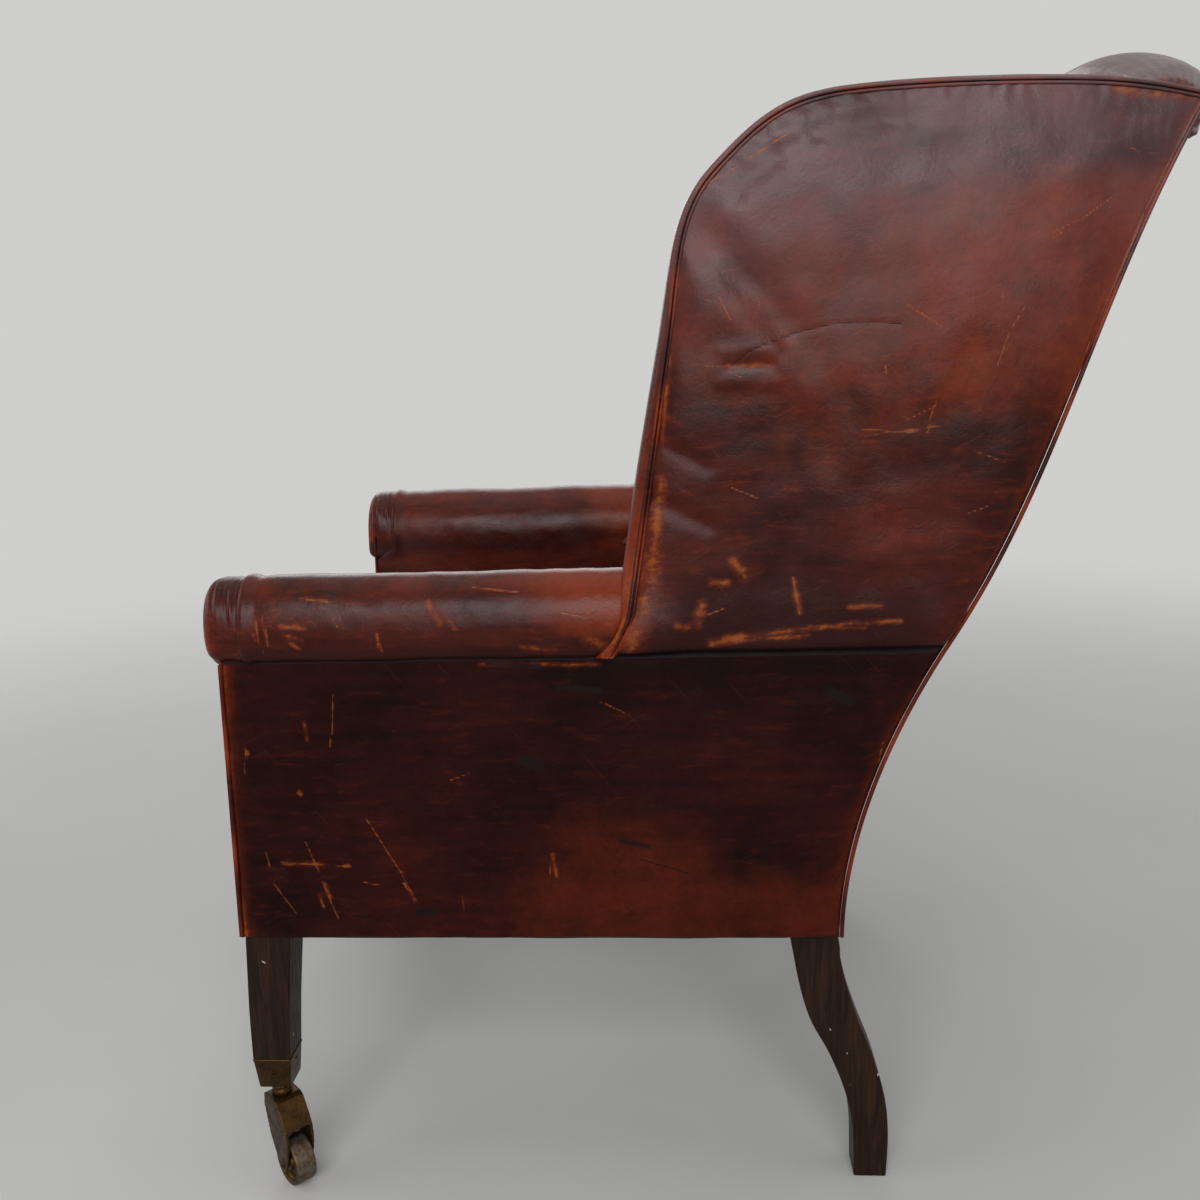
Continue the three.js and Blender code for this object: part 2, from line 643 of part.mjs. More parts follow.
function backPad() {
  const [x0, x1] = [-PAD_HALF_WIDTH, PAD_HALF_WIDTH];
  const pad = backBoard(BACK_PAD_REAR_INSET, insideBackInset, x0, x1, DECK_BOTTOM_Z, CREST_RAIL_TOP_Z);
  return cut(pad, headCutter);
}

function outsideBack() {
  const cover = backBoard(0, BACK_COVER, -FRAME_FACE_X, FRAME_FACE_X, BASE_Z, CREST_TOP_Z);
  return common(cover, belowHead());
}

const frontBorder = () => leant(block(-PAD_HALF_WIDTH, PAD_HALF_WIDTH, 0, FACING, BASE_Z, DECK_TOP_Z));

function deck() {
  const slab = leant(block(-PAD_HALF_WIDTH, PAD_HALF_WIDTH, LEG_FRONT_Y, FAR, DECK_BOTTOM_Z, DECK_TOP_Z));
  return common(slab, aheadOfBack(BACK_PAD_FRONT_INSET + GAP, -FAR, FAR));
}

// A loose cushion: a rounded rectangle in plan, with rolled edges and a low crown.
function seatCushion() {
  const halfWidth = PAD_HALF_WIDTH - 4 * GAP;
  const back = backAt(DECK_TOP_Z) - BACK_PAD_FRONT_INSET - 4 * GAP;
  const ring = (inset, z) => {
    const r = CUSHION_CORNER_R;
    const [x, y0, y1] = [halfWidth - inset, CUSHION_FRONT_Y + inset, back - inset];
    return [
      ...arc(x - r, y1 - r, r, r, 0, 90), ...arc(-x + r, y1 - r, r, r, 90, 180),
      ...arc(-x + r, y0 + r, r, r, 180, 270), ...arc(x - r, y0 + r, r, r, 270, 360),
    ].map(([px, py]) => [px, py, z]);
  };
  const low = DECK_TOP_Z + GAP;
  const high = low + CUSHION_HEIGHT;
  const edge = [0, 30, 60, 90].map((angle) => {
    const turn = THREE.MathUtils.degToRad(angle);
    return [CUSHION_EDGE_R * Math.cos(turn), CUSHION_EDGE_R * Math.sin(turn)];
  });
  return loft([
    ...edge.map(([u, v]) => ring(CUSHION_EDGE_R - u, low + CUSHION_EDGE_R - v)).reverse(),
    ...edge.map(([u, v]) => ring(CUSHION_EDGE_R - u, high - CUSHION_EDGE_R + v)),
    ring(halfWidth * CUSHION_SHOULDER, high + CUSHION_CROWN * CUSHION_SHOULDER_RISE),
    ring(halfWidth * CUSHION_SHOULDER * 2, high + CUSHION_CROWN),
  ]);
}

// Cup castor, left side

function cup() {
  const frustum = (wall, z0, z1, top) => {
    const [low, high] = [CUP_BOTTOM / 2 - wall, top / 2 - wall];
    return loft([
      squareRing(CASTOR_X - low, CASTOR_X + low, CASTOR_Y - low, CASTOR_Y + low, z0),
      squareRing(CASTOR_X - high, CASTOR_X + high, CASTOR_Y - high, CASTOR_Y + high, z1),
    ]);
  };
  const lipHalf = CUP_TOP / 2 + CUP_LIP;
  const lip = block(CASTOR_X - lipHalf, CASTOR_X + lipHalf, CASTOR_Y - lipHalf, CASTOR_Y + lipHalf,
    CUP_TOP_Z - CUP_LIP_HEIGHT, CUP_TOP_Z);
  const outer = join(frustum(0, CUP_BOTTOM_Z, CUP_TOP_Z, CUP_TOP), lip);
  const hollow = frustum(CUP_WALL, CUP_BOTTOM_Z + CUP_FLOOR, CUP_TOP_Z + GAP, CUP_TOP);
  return cut(outer, hollow, outerPin(GAP), rearPin(GAP));
}

const cupMiddleZ = (CUP_TOP_Z + CUP_BOTTOM_Z) / 2;
const cupMiddleHalf = (CUP_TOP + CUP_BOTTOM) / 4;
const pinReach = cupMiddleHalf + CUP_PIN_PROUD - CUP_PIN_LENGTH / 2;

function pin(grow) {
  const radius = CUP_PIN_R + grow;
  return new THREE.CylinderGeometry(radius, radius, CUP_PIN_LENGTH + 2 * grow, ROUND / 2);
}

function outerPin(grow) {
  return pin(grow).rotateZ(Math.PI / 2).translate(CASTOR_X + pinReach, CASTOR_Y, cupMiddleZ);
}

function rearPin(grow) {
  return pin(grow).translate(CASTOR_X, CASTOR_Y + pinReach, cupMiddleZ + CUP_PIN_DROP);
}

// The neck hangs from the cup and ends in the pintle that the horn turns on.
function neck() {
  const top = CUP_BOTTOM_Z - GAP;
  const profile = [
    [0, top], [NECK_R - 1, top], [NECK_GROOVE_R, top - NECK_RING], [NECK_R, top - 2 * NECK_RING],
    [NECK_GROOVE_R, top - 3 * NECK_RING], [NECK_R, NECK_BOTTOM_Z], [PINTLE_R, NECK_BOTTOM_Z],
    [PINTLE_R, PINTLE_BOTTOM_Z], [0, PINTLE_BOTTOM_Z],
  ].map(([r, z]) => new THREE.Vector2(r, z));
  return new THREE.LatheGeometry(profile, ROUND).rotateX(Math.PI / 2);
}

// The turned pieces below stand in the castor's own frame: x along the trail, y along the axle.
const wheelHalf = WHEEL_WIDTH / 2;
const cheekInner = wheelHalf + WHEEL_SIDE_GAP;
const cheekOuter = cheekInner + HORN_CHEEK;
const axleCylinder = (radius, half) => new THREE.CylinderGeometry(radius, radius, 2 * half, ROUND)
  .translate(TRAIL, 0, WHEEL_R);

function horn() {
  const top = NECK_BOTTOM_Z - GAP;
  const outline = new THREE.SplineCurve([
    [-NECK_R - 1, top], [NECK_R + 1, top], [NECK_R + 10, top - 8], [TRAIL + 14, WHEEL_R + 42],
    [TRAIL + 15, WHEEL_R + 22], [TRAIL + HORN_EYE_R, WHEEL_R], [TRAIL, WHEEL_R - HORN_EYE_R],
    [TRAIL - HORN_EYE_R, WHEEL_R], [-5, WHEEL_R + 25], [-NECK_R - 3, top - 14],
  ].map(([x, z]) => new THREE.Vector2(x, z)));
  const flat = [[-NECK_R - 1, top], [NECK_R + 1, top]];
  const pastTheFlat = 1 / (outline.points.length - 1);
  const hood = spaced(pastTheFlat, 1, SIDE_STEPS).map((t) => {
    const point = outline.getPoint(t);
    return [point.x, Math.min(point.y, top)];
  });
  const body = frontSlab([flat[0], ...hood], -cheekOuter, cheekOuter);
  const wheelRoom = axleCylinder(WHEEL_R + WHEEL_TREAD_GAP, cheekInner);
  const windowTop = 2 * (WHEEL_R + WHEEL_TREAD_GAP) + 3;
  const window = block(TRAIL, TRAIL + 2 * WHEEL_R, -cheekInner, cheekInner, -1, windowTop);
  const bore = new THREE.CylinderGeometry(PINTLE_R + GAP, PINTLE_R + GAP, top, ROUND)
    .rotateX(Math.PI / 2).translate(0, 0, top / 2 + WHEEL_R);
  return cut(body, wheelRoom, window, bore, axleCylinder(AXLE_R + GAP, cheekOuter + 1));
}

function axle() {
  const half = cheekOuter + GAP;
  const profile = [
    [0, -half - AXLE_HEAD], [AXLE_HEAD_R * 0.7, -half - AXLE_HEAD], [AXLE_HEAD_R, -half], [AXLE_R, -half],
    [AXLE_R, half], [AXLE_HEAD_R, half], [AXLE_HEAD_R * 0.7, half + AXLE_HEAD], [0, half + AXLE_HEAD],
  ].map(([r, y]) => new THREE.Vector2(r, y));
  return new THREE.LatheGeometry(profile, ROUND).translate(TRAIL, 0, WHEEL_R);
}

function wheel() {
  const bore = AXLE_R + GAP;
  const rimInner = WHEEL_R - WHEEL_RIM;
  const half = [
    [bore, wheelHalf - 1], [HUB_R, wheelHalf - 1], [HUB_R + 1, WHEEL_WEB_HALF],
    [rimInner - WHEEL_EDGE, WHEEL_WEB_HALF], [rimInner, wheelHalf], [WHEEL_R - WHEEL_EDGE, wheelHalf],
    [WHEEL_R, wheelHalf - WHEEL_EDGE],
  ];
  const profile = [...half, ...half.map(([r, y]) => [r, -y]).reverse(), half[0]]
    .map(([r, y]) => new THREE.Vector2(r, y));
  return new THREE.LatheGeometry(profile, ROUND).translate(TRAIL, 0, WHEEL_R);
}

// Assembly

const chair = new THREE.Group();

function add(group, name, geometry, finish) {
  const mesh = new THREE.Mesh(closed(geometry), new THREE.MeshStandardMaterial(finish));
  mesh.name = name;
  group.add(mesh);
}

add(chair, 'front_seat_rail', frontRail(), frameTimber);
add(chair, 'back_seat_rail', backRail(), frameTimber);
add(chair, 'back_stay_rail', stayRail(), frameTimber);
add(chair, 'crest_rail', crestRail(), frameTimber);
add(chair, 'seat_webbing', seatWebbing(), juteWebbing);
add(chair, 'back_webbing', backWebbing(), juteWebbing);
add(chair, 'bottom_cloth', bottomCloth(), blackCloth);
add(chair, 'seat_deck', deck(), leather);
add(chair, 'seat_front_border', frontBorder(), leather);
add(chair, 'seat_cushion', seatCushion(), leather);
add(chair, 'inside_back', backPad(), leather);
add(chair, 'head_roll', headRoll(0), leather);
add(chair, 'outside_back', outsideBack(), leather);

['front', 'middle', 'rear'].forEach((row, j) => {
  ['right', 'centre', 'left'].forEach((column, i) => {
    const spring = seatSpring().translate((i - 1) * SPRING_PITCH_X, SPRING_FRONT_Y + j * SPRING_PITCH_Y, 0);
    add(chair, `seat_spring_${row}_${column}`, spring, springSteel);
  });
});

['left', 'right'].forEach((side) => {
  const half = new THREE.Group();
  half.scale.x = side === 'left' ? 1 : -1;
  chair.add(half);
  add(half, `front_leg_${side}`, frontLeg(), darkOak);
  add(half, `rear_post_${side}`, rearPost(), darkOak);
  add(half, `side_seat_rail_${side}`, sideRail(RAIL_BOTTOM_Z, RAIL_TOP_Z), frameTimber);
  add(half, `arm_stump_${side}`, armStump(), frameTimber);
  add(half, `arm_rail_${side}`, sideRail(CREASE_Z - GAP - ARM_RAIL_HEIGHT, CREASE_Z - GAP), frameTimber);
  add(half, `wing_frame_${side}`, wingFrame(), frameTimber);
  add(half, `arm_roll_${side}`, armPad(), leather);
  add(half, `arm_facing_${side}`, armFacing(), leather);
  add(half, `outside_arm_${side}`, outsideArm(), leather);
  add(half, `outside_wing_${side}`, outsideWing(), leather);
  add(half, `inside_wing_${side}`, wingPad(), leather);
  add(half, `wing_border_${side}`, wingBorder(), leather);
  add(half, `castor_cup_${side}`, cup(), agedBrass);
  add(half, `castor_cup_outer_pin_${side}`, outerPin(0), agedBrass);
  add(half, `castor_cup_rear_pin_${side}`, rearPin(0), agedBrass);
  const swivel = new THREE.Group();
  swivel.position.set(CASTOR_X, CASTOR_Y, 0);
  swivel.rotation.z = THREE.MathUtils.degToRad(TRAIL_ANGLE);
  half.add(swivel);
  const upright = new THREE.Group();
  upright.position.set(CASTOR_X, CASTOR_Y, 0);
  half.add(upright);
  add(upright, `castor_neck_${side}`, neck(), agedBrass);
  add(swivel, `castor_horn_${side}`, horn(), agedBrass);
  add(swivel, `castor_axle_${side}`, axle(), agedBrass);
  add(swivel, `castor_wheel_${side}`, wheel(), agedBrass);
});

// The origin lies under the middle of the chair's box.
chair.updateMatrixWorld(true);
const bounds = new THREE.Box3().setFromObject(chair);
chair.position.y = -(bounds.min.y + bounds.max.y) / 2;

export default chair;
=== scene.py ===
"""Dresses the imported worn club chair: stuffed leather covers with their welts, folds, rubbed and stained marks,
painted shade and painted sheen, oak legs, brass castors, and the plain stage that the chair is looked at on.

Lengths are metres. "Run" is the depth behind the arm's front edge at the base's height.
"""

import json
import math

import bmesh
import bpy
import numpy as np
from bpy.props import FloatProperty, FloatVectorProperty, PointerProperty
from mathutils import Matrix, Vector


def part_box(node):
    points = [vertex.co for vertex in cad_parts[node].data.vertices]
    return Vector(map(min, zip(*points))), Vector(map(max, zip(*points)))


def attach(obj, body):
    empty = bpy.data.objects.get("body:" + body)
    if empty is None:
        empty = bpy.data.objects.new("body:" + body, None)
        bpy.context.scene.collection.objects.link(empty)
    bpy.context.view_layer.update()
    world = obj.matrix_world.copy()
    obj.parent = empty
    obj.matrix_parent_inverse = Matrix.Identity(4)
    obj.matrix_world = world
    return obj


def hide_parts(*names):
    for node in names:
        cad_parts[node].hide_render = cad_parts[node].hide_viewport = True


bl_info = {
    "name": "Worn club chair",
    "version": (1, 0, 0),
    "blender": (4, 5, 0),
    "location": "3D View > Sidebar > Club chair",
    "description": "Covers, legs and castors of a worn leather club chair, built round its packed frame",
    "category": "Add Mesh",
}

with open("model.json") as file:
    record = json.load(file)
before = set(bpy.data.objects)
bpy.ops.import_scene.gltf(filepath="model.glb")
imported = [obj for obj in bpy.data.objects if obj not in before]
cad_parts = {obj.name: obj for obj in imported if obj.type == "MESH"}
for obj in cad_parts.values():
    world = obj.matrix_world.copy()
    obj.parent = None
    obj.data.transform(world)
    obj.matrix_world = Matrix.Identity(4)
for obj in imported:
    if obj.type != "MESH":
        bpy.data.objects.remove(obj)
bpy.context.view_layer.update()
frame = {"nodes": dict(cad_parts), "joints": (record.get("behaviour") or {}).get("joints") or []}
FRONT_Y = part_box("arm_facing_left")[0].y
SIDES = {"left": 1.0, "right": -1.0}
HIDDEN_X = 0.3345
# Channels of the marks; the stain and warmth channels also carry painted shade.
MARKS = ("scratch", "scuff", "stain_and_shade", "fold", "warmth_and_shade")
PHOTO_PLACE = Vector((1.386, 0.4472 + FRONT_Y, 0.8582))
PHOTO_PITCH, PHOTO_YAW, PHOTO_ROLL = math.radians(12.66), math.radians(4.07), math.radians(-2.05)
PHOTO_LENS, PHOTO_SENSOR = 35.41, 36.0


# Sizes and colours that the panel shows


def length(name, description, default):
    """A size, shown in the scene's own units."""
    return FloatProperty(name=name, description=description, default=default, min=0.0, precision=4, unit="LENGTH")


def share(name, description, default):
    """A number between nothing and all."""
    return FloatProperty(name=name, description=description, default=default, min=0.0, max=1.0, subtype="FACTOR")


def colour(name, description, default):
    """A linear colour."""
    return FloatVectorProperty(
        name=name, description=description, default=(*default, 1.0), size=4, min=0.0, max=1.0, subtype="COLOR"
    )


class ChairSizes(bpy.types.PropertyGroup):
    """Sizes of the covers."""

    half_width: length("Half width", "From the middle to the outside of the arm's roll", 0.350)
    side_face: length("Side face", "From the middle to the outside arm's leather", 0.3365)
    wing_face: length("Wing face", "From the middle to the wing's leather where it swells most", 0.3465)
    arm_inner: length("Arm inner face", "From the middle to the arm's inner leather", 0.257)
    base_z: length("Base height", "Height of the base's lower edge", 0.283)
    crease_z: length("Crease height", "Height of the tuck under the arm's roll", 0.5686)
    arm_top: length("Arm height", "Top of the arm's roll", 0.646)
    wing_top: length("Wing height", "Highest point of the wing's edge", 1.055)
    corner_z: length("Corner height", "Height of the wing's rear corner", 1.035)
    crest_top: length("Crest height", "Top of the rolled head", 1.116)
    base_depth: length("Base depth", "Run of the outside back at the base", 0.595)
    crease_depth: length("Crease depth", "Run of the outside back at the crease", 0.684)
    corner_depth: length("Corner depth", "Run of the outside back at the wing's corner", 0.883)
    wing_front: length("Wing front", "Run of the wing's front edge at the crease", 0.381)
    welt: length("Welt radius", "Radius of the piped seams", 0.0015)
    grid: length("Grid step", "Spacing of the points of the seen covers", 0.0021)


class LeatherLook(bpy.types.PropertyGroup):
    """Colours and finish of the leather."""

    wing: colour("Wing leather", "Red-brown of the wings, arms and back", (0.052, 0.0070, 0.0042))
    side: colour("Side leather", "Darker red-brown of the outside arms", (0.0185, 0.0023, 0.0018))
    glow: colour("Warm leather", "Warmer red-brown that shows through in patches", (0.155, 0.0200, 0.0040))
    worn: colour("Worn leather", "Orange-tan where the finish is rubbed off", (0.255, 0.063, 0.011))
    # Painted sheen: a dull mauve-grey that stands in for the high light's reflection on the upper wings and back.
    painted_sheen: colour("Painted sheen", "Dull mauve-grey of the wax high on the wings and back", (0.135, 0.086, 0.090))
    # Near black for real stains and seams, and for painted shade in creases, tucks and the crease under the roll.
    stain_and_shade: colour("Stain and shade", "Near-black of grease, ink and seams", (0.006, 0.003, 0.0028))
    gloss: share("Roughness", "Roughness of the waxed surface", 0.30)


class HardwareLook(bpy.types.PropertyGroup):
    """Colours of the wood, the metal and the hidden cloth."""

    oak: colour("Dark oak", "Stained oak of the legs", (0.0150, 0.0055, 0.0023))
    beech: colour("Frame timber", "Plain timber of the hidden frame", (0.42, 0.27, 0.14))
    brass: colour("Aged brass", "Brown brass of the castors", (0.068, 0.034, 0.0090))
    steel: colour("Spring steel", "Dull wire of the springs", (0.22, 0.22, 0.23))
    jute: colour("Jute", "Woven webbing", (0.34, 0.24, 0.12))
    cloth: colour("Bottoming cloth", "Black cloth under the seat", (0.012, 0.011, 0.010))


class StageLook(bpy.types.PropertyGroup):
    """Stage and light."""

    floor: colour("Floor", "Plain pale floor", (0.44, 0.435, 0.42))
    wall: colour("Backdrop", "Plain pale backdrop", (0.62, 0.62, 0.605))
    high: FloatProperty(name="High window", description="Power of the bright high light", default=74.0, unit="POWER")
    broad: FloatProperty(name="Broad window", description="Power of the broad low light", default=38.0, unit="POWER")


def sizes():
    """The chair's sizes."""
    return bpy.context.scene.chair_sizes


# Lines of the chair


def waves(a, b, step, seed):
    """Soft unevenness of about -1 to 1: a sum of sines over two coordinates, in eight directions, with periods
    from one to two steps."""
    random = np.random.RandomState(seed)
    total = np.zeros(np.broadcast(a, b).shape)
    for turn, period, phase in zip(random.rand(8) * np.pi, step * (1 + random.rand(8)), random.rand(8) * 2 * np.pi):
        total = total + np.sin((a * np.cos(turn) + b * np.sin(turn)) * 2 * np.pi / period + phase)
    return total / 3.2


def smooth(low, high, value):
    """Rises smoothly from 0 at low to 1 at high."""
    t = np.clip((value - low) / (high - low), 0, 1)
    return t * t * (3 - 2 * t)


def spline(points, count, start=0.0, end=1.0):
    """A curve through the points in which each point's tangent is half the step between its neighbours."""
    p = np.asarray(points, float)
    t = np.linspace(start, end, count) * (len(p) - 1)
    i = np.minimum(t.astype(int), len(p) - 2)
    w = (t - i)[:, None]
    a, b = p[i], p[i + 1]
    da = (b - p[np.maximum(i - 1, 0)]) / 2
    db = (p[np.minimum(i + 2, len(p) - 1)] - a) / 2
    return (2 * a - 2 * b + da + db) * w**3 + (-3 * a + 3 * b - 2 * da - db) * w**2 + da * w + a


def respaced(path, count):
    """The same line with evenly spaced points."""
    steps = np.linalg.norm(np.diff(path, axis=0), axis=1)
    along = np.concatenate([[0], np.cumsum(steps)])
    at = np.linspace(0, along[-1], count)
    return np.stack([np.interp(at, along, path[:, k]) for k in range(path.shape[1])], -1)


def inwards(path, inset):
    """A side-view line moved to its right-hand side, which is the inside of the wing, by an inset."""
    d = np.gradient(path, axis=0)
    d /= np.linalg.norm(d, axis=1)[:, None]
    return path + np.stack([d[:, 1], -d[:, 0]], -1) * np.reshape(inset, (-1, 1))


def lean(z):
    """How far the front of the base and arms has moved back at a height."""
    return 0.028 * (z - sizes().base_z)


def back_run(z):
    """Run of the outside back: a bow of power 1.9 up to the crease, then a straight rake plus a cubic bend."""
    s = sizes()
    low = np.clip((z - s.base_z) / (s.crease_z - s.base_z), 0, 1)
    high = np.clip((z - s.crease_z) / (s.corner_z - s.crease_z), 0, None)

    def sweep(h):
        return 0.814 * h + 0.722 * ((h - 0.55) ** 3 + 0.55**3)

    rise = (s.crease_depth - s.base_depth) * low**1.9
    return s.base_depth + rise + (s.corner_depth - s.crease_depth) * sweep(high) / sweep(1.0)


def wing_edge(inset, count):
    """The wing's front and top edge from the crease to the rear corner, as shares of its depth and height, moved
    inwards. Its foot sweeps forward over the arm's roll."""
    s = sizes()
    edge = [
        (-0.02, -0.1), (0, 0), (0.048, 0.302), (0.097, 0.571), (0.14, 0.79), (0.218, 0.9), (0.337, 0.98),
        (0.52, 1), (0.82, 0.992), (1, 0.959), (1.12, 0.92),
    ]
    path = spline(edge, 900, 0.1, 0.9) * [s.corner_depth - s.wing_front, s.wing_top - s.crease_z]
    path = respaced(path + [s.wing_front, s.crease_z], count)
    path = inwards(path, np.broadcast_to(inset, count))
    path[:, 0] -= 0.015 * wing_foot(path[:, 1]) ** 1.6
    return path


def wing_foot(z):
    """1 at the crease, where the wing's border lands on the arm, 0 from 45 mm higher."""
    return np.clip((sizes().crease_z + 0.045 - z) / 0.045, 0, 1)


def flare(z):
    """1 where the wing's foot spreads over the arm's roll, falling smoothly to 0 at 0.1 m above the crease."""
    return 1 - smooth(0.036, 0.100, z - sizes().crease_z)


def seam_inset(count):
    """How far the wing's outer seam lies behind its edge: 13 mm at the foot, 6 mm round the top."""
    t = np.linspace(0, 1, count)
    return 0.0130 - 0.0070 * smooth(0.12, 0.5, t)


def scroll(count):
    """Section of the arm's roll as x and height: three quarter-ellipses from the crease outside, over the top,
    to the inner face."""
    s = sizes()

    def arc(cx, cz, rx, rz, start, end):
        a = np.radians(np.linspace(start, end, 60))
        return np.stack([cx + rx * np.cos(a), cz + rz * np.sin(a)], -1)

    centre, bulge, inner = s.half_width - 0.039, 0.597, 0.585
    under = arc(s.side_face, bulge, s.half_width - s.side_face, bulge - s.crease_z, -90, 0)
    over = arc(centre, bulge, s.half_width - centre, s.arm_top - bulge, 0, 90)
    inside = arc(centre, inner, centre - s.arm_inner, s.arm_top - inner, 90, 180)
    return respaced(np.concatenate([under, over[1:], inside[1:]]), count)


# Marks of wear on the outside of the left, seen half, as lines in the side view: run, height, run, height in
# millimetres and, where it isn't thin, half-width. The right half has fewer, elsewhere.

WING_SCRATCHES = [
    (475, 978, 490, 986), (490, 986, 543, 1016), (484, 886, 493, 867), (472, 885, 478, 882), (471, 829, 488, 828),
    (489, 824, 501, 819), (668, 793, 664, 781), (664, 781, 661, 766), (605, 771, 659, 766), (616, 766, 672, 772),
    (642, 777, 669, 790), (702, 749, 728, 739), (758, 928, 782, 938), (782, 938, 805, 953), (718, 821, 728, 851),
    (728, 851, 739, 869), (719, 883, 721, 876), (624, 826, 625, 816), (641, 875, 672, 854), (468, 608, 484, 614),
    (493, 723, 516, 713), (546, 642, 552, 608), (757, 922, 767, 928), (698, 695, 718, 702), (818, 992, 826, 988),
]
WING_SCUFFS = [
    (490, 828, 529, 828, 5), (474, 582, 500, 587, 9), (500, 587, 534, 591, 6), (534, 591, 597, 598, 5),
    (500, 584, 560, 588, 4), (597, 598, 641, 600, 5), (560, 596, 610, 594, 4),
    (465, 618, 460, 601, 10), (453, 598, 442, 599, 7), (474, 638, 488, 637, 7), (500, 648, 514, 649, 11),
    (547, 638, 552, 610, 6), (596, 613, 623, 614, 6), (422, 659, 404, 590, 20), (404, 590, 400, 572, 16),
    (431, 731, 422, 659, 11), (442, 860, 433, 766, 5), (454, 954, 446, 884, 5), (747, 1048, 759, 1046, 6),
    (807, 1037, 870, 1029, 8), (494, 657, 503, 643, 9),
]
WING_STAINS = [
    (729, 941, 729, 928, 4), (773, 991, 788, 987, 3), (788, 987, 801, 972, 3), (477, 665, 463, 644, 7),
    (734, 905, 742, 898, 12), (684, 905, 705, 906, 7), (466, 884, 458, 859, 12), (722, 994, 730, 990, 6),
    (590, 898, 572, 864, 2), (644, 836, 686, 836, 2), (515, 826, 540, 822, 7),
]
# Fine creases: sunk a little, and darkened near black as painted shade.
WING_CREASES = [
    (494, 828, 506, 838), (506, 838, 524, 846), (524, 846, 550, 854), (550, 854, 581, 860), (581, 860, 618, 860),
    (618, 860, 636, 858),
]
# Rise, half-width and lines of the soft folds, and rise, half-width and line of each dent and low ridge.
WING_FOLDS = [
    (-0.0055, 0.026, [(440, 958, 490, 915), (490, 915, 540, 864), (540, 864, 600, 815)]),
    (0.0040, 0.024, [(430, 935, 480, 886), (480, 886, 530, 838), (530, 838, 590, 790)]),
    (0.0024, 0.034, [(480, 975, 600, 880)]),
]
WING_DENTS = [
    (-0.0016, 0.0045, (492, 828, 527, 828)), (0.0012, 0.007, (486, 815, 530, 813)),
    (0.0010, 0.007, (486, 841, 530, 842)), (-0.0022, 0.009, (418, 716, 470, 690)),
    (-0.0018, 0.008, (424, 768, 470, 742)), (-0.0008, 0.007, (480, 992, 500, 965)),
    (-0.0009, 0.006, (520, 1022, 535, 995)), (-0.0007, 0.006, (560, 1034, 566, 1012)),
    (-0.0006, 0.006, (610, 1040, 625, 1022)), (0.0005, 0.014, (540, 1010, 700, 1014)),
]
ARM_SCRATCHES = [
    (50, 365, 121, 361), (77, 387, 88, 354), (90, 345, 103, 304), (138, 412, 167, 358), (167, 358, 182, 324),
    (117, 535, 114, 505), (114, 505, 109, 483), (630, 482, 624, 448), (620, 423, 612, 383), (28, 487, 22, 450),
    (41, 343, 61, 310), (315, 364, 315, 349), (36, 377, 39, 358), (368, 526, 391, 514), (223, 449, 242, 456),
    (130, 345, 146, 341), (228, 330, 228, 312),
]
ARM_SCUFFS = [
    (12, 562, 8, 500, 9), (10, 472, 2, 326, 5), (4, 326, 6, 287, 8), (75, 438, 76, 436, 5), (28, 480, 28, 477, 4),
    (675, 551, 650, 482, 7), (650, 482, 617, 403, 6), (615, 393, 603, 322, 6), (601, 322, 598, 286, 6),
    (92, 343, 97, 327, 4), (86, 331, 89, 318, 3), (52, 364, 92, 363, 5), (114, 362, 118, 362, 4),
    (87, 508, 88, 490, 4), (171, 343, 181, 324, 3), (168, 356, 172, 354, 3), (318, 372, 321, 350, 4),
    (258, 563, 370, 561, 4),
]
ARM_GLOWS = [(323, 334, 458, 323, 75), (363, 376, 439, 354, 80), (480, 330, 560, 320, 60)]
ARM_STAINS = [
    (295, 468, 309, 464, 11), (184, 312, 196, 311, 9), (265, 563, 314, 561, 5), (332, 540, 369, 536, 6),
    (383, 386, 411, 380, 5), (580, 532, 599, 522, 10), (502, 465, 525, 454, 2), (572, 478, 599, 488, 2),
    (401, 367, 449, 352, 2), (460, 425, 484, 413, 2), (492, 362, 516, 374, 2), (516, 374, 539, 386, 2),
    (587, 342, 596, 357, 2),
]
ROLL_SCRATCHES = [
    (50, 612, 49, 584), (55, 615, 53, 590), (60, 616, 58, 580), (64, 606, 63, 586), (92, 630, 122, 626),
    (127, 612, 132, 601), (133, 614, 136, 602), (255, 636, 300, 631), (26, 602, 24, 580), (336, 614, 363, 608),
]
ROLL_SCUFFS = [
    (76, 606, 98, 604, 5), (80, 598, 96, 592, 4), (84, 590, 92, 584, 4), (100, 630, 122, 627, 3),
    (50, 600, 54, 590, 4),
    (215, 624, 226, 606, 6), (228, 616, 240, 600, 5), (166, 598, 169, 580, 3), (362, 587, 382, 575, 14),
    (363, 615, 372, 624, 8), (300, 582, 330, 578, 5), (10, 632, 4, 594, 7),
]
ROLL_STAINS = [(108, 636, 131, 632, 2)]


def line_distance(points, a, b):
    """Distance of side-view points from one straight piece of line."""
    ab = b - a
    t = np.clip(((points - a) @ ab) / max(ab @ ab, 1e-12), 0, 1)
    return np.linalg.norm(points - a - t[:, None] * ab, axis=1)


def near(points, lines, width=0.005):
    """1 on the lines, falling evenly to 0 at each line's half-width."""
    best = np.zeros(len(points))
    for line in lines:
        v = np.array(line) / 1000
        reach = v[4] if len(v) > 4 else width
        best = np.maximum(best, 1 - line_distance(points, v[:2], v[2:4]) / reach)
    return best


def fold(points, lines, width):
    """A smooth fold along the lines: a bell of the distance to the nearest of them."""
    ends = np.array(lines) / 1000
    best = np.min([line_distance(points, v[:2], v[2:4]) for v in ends], axis=0)
    return np.exp(-((best / width) ** 2))


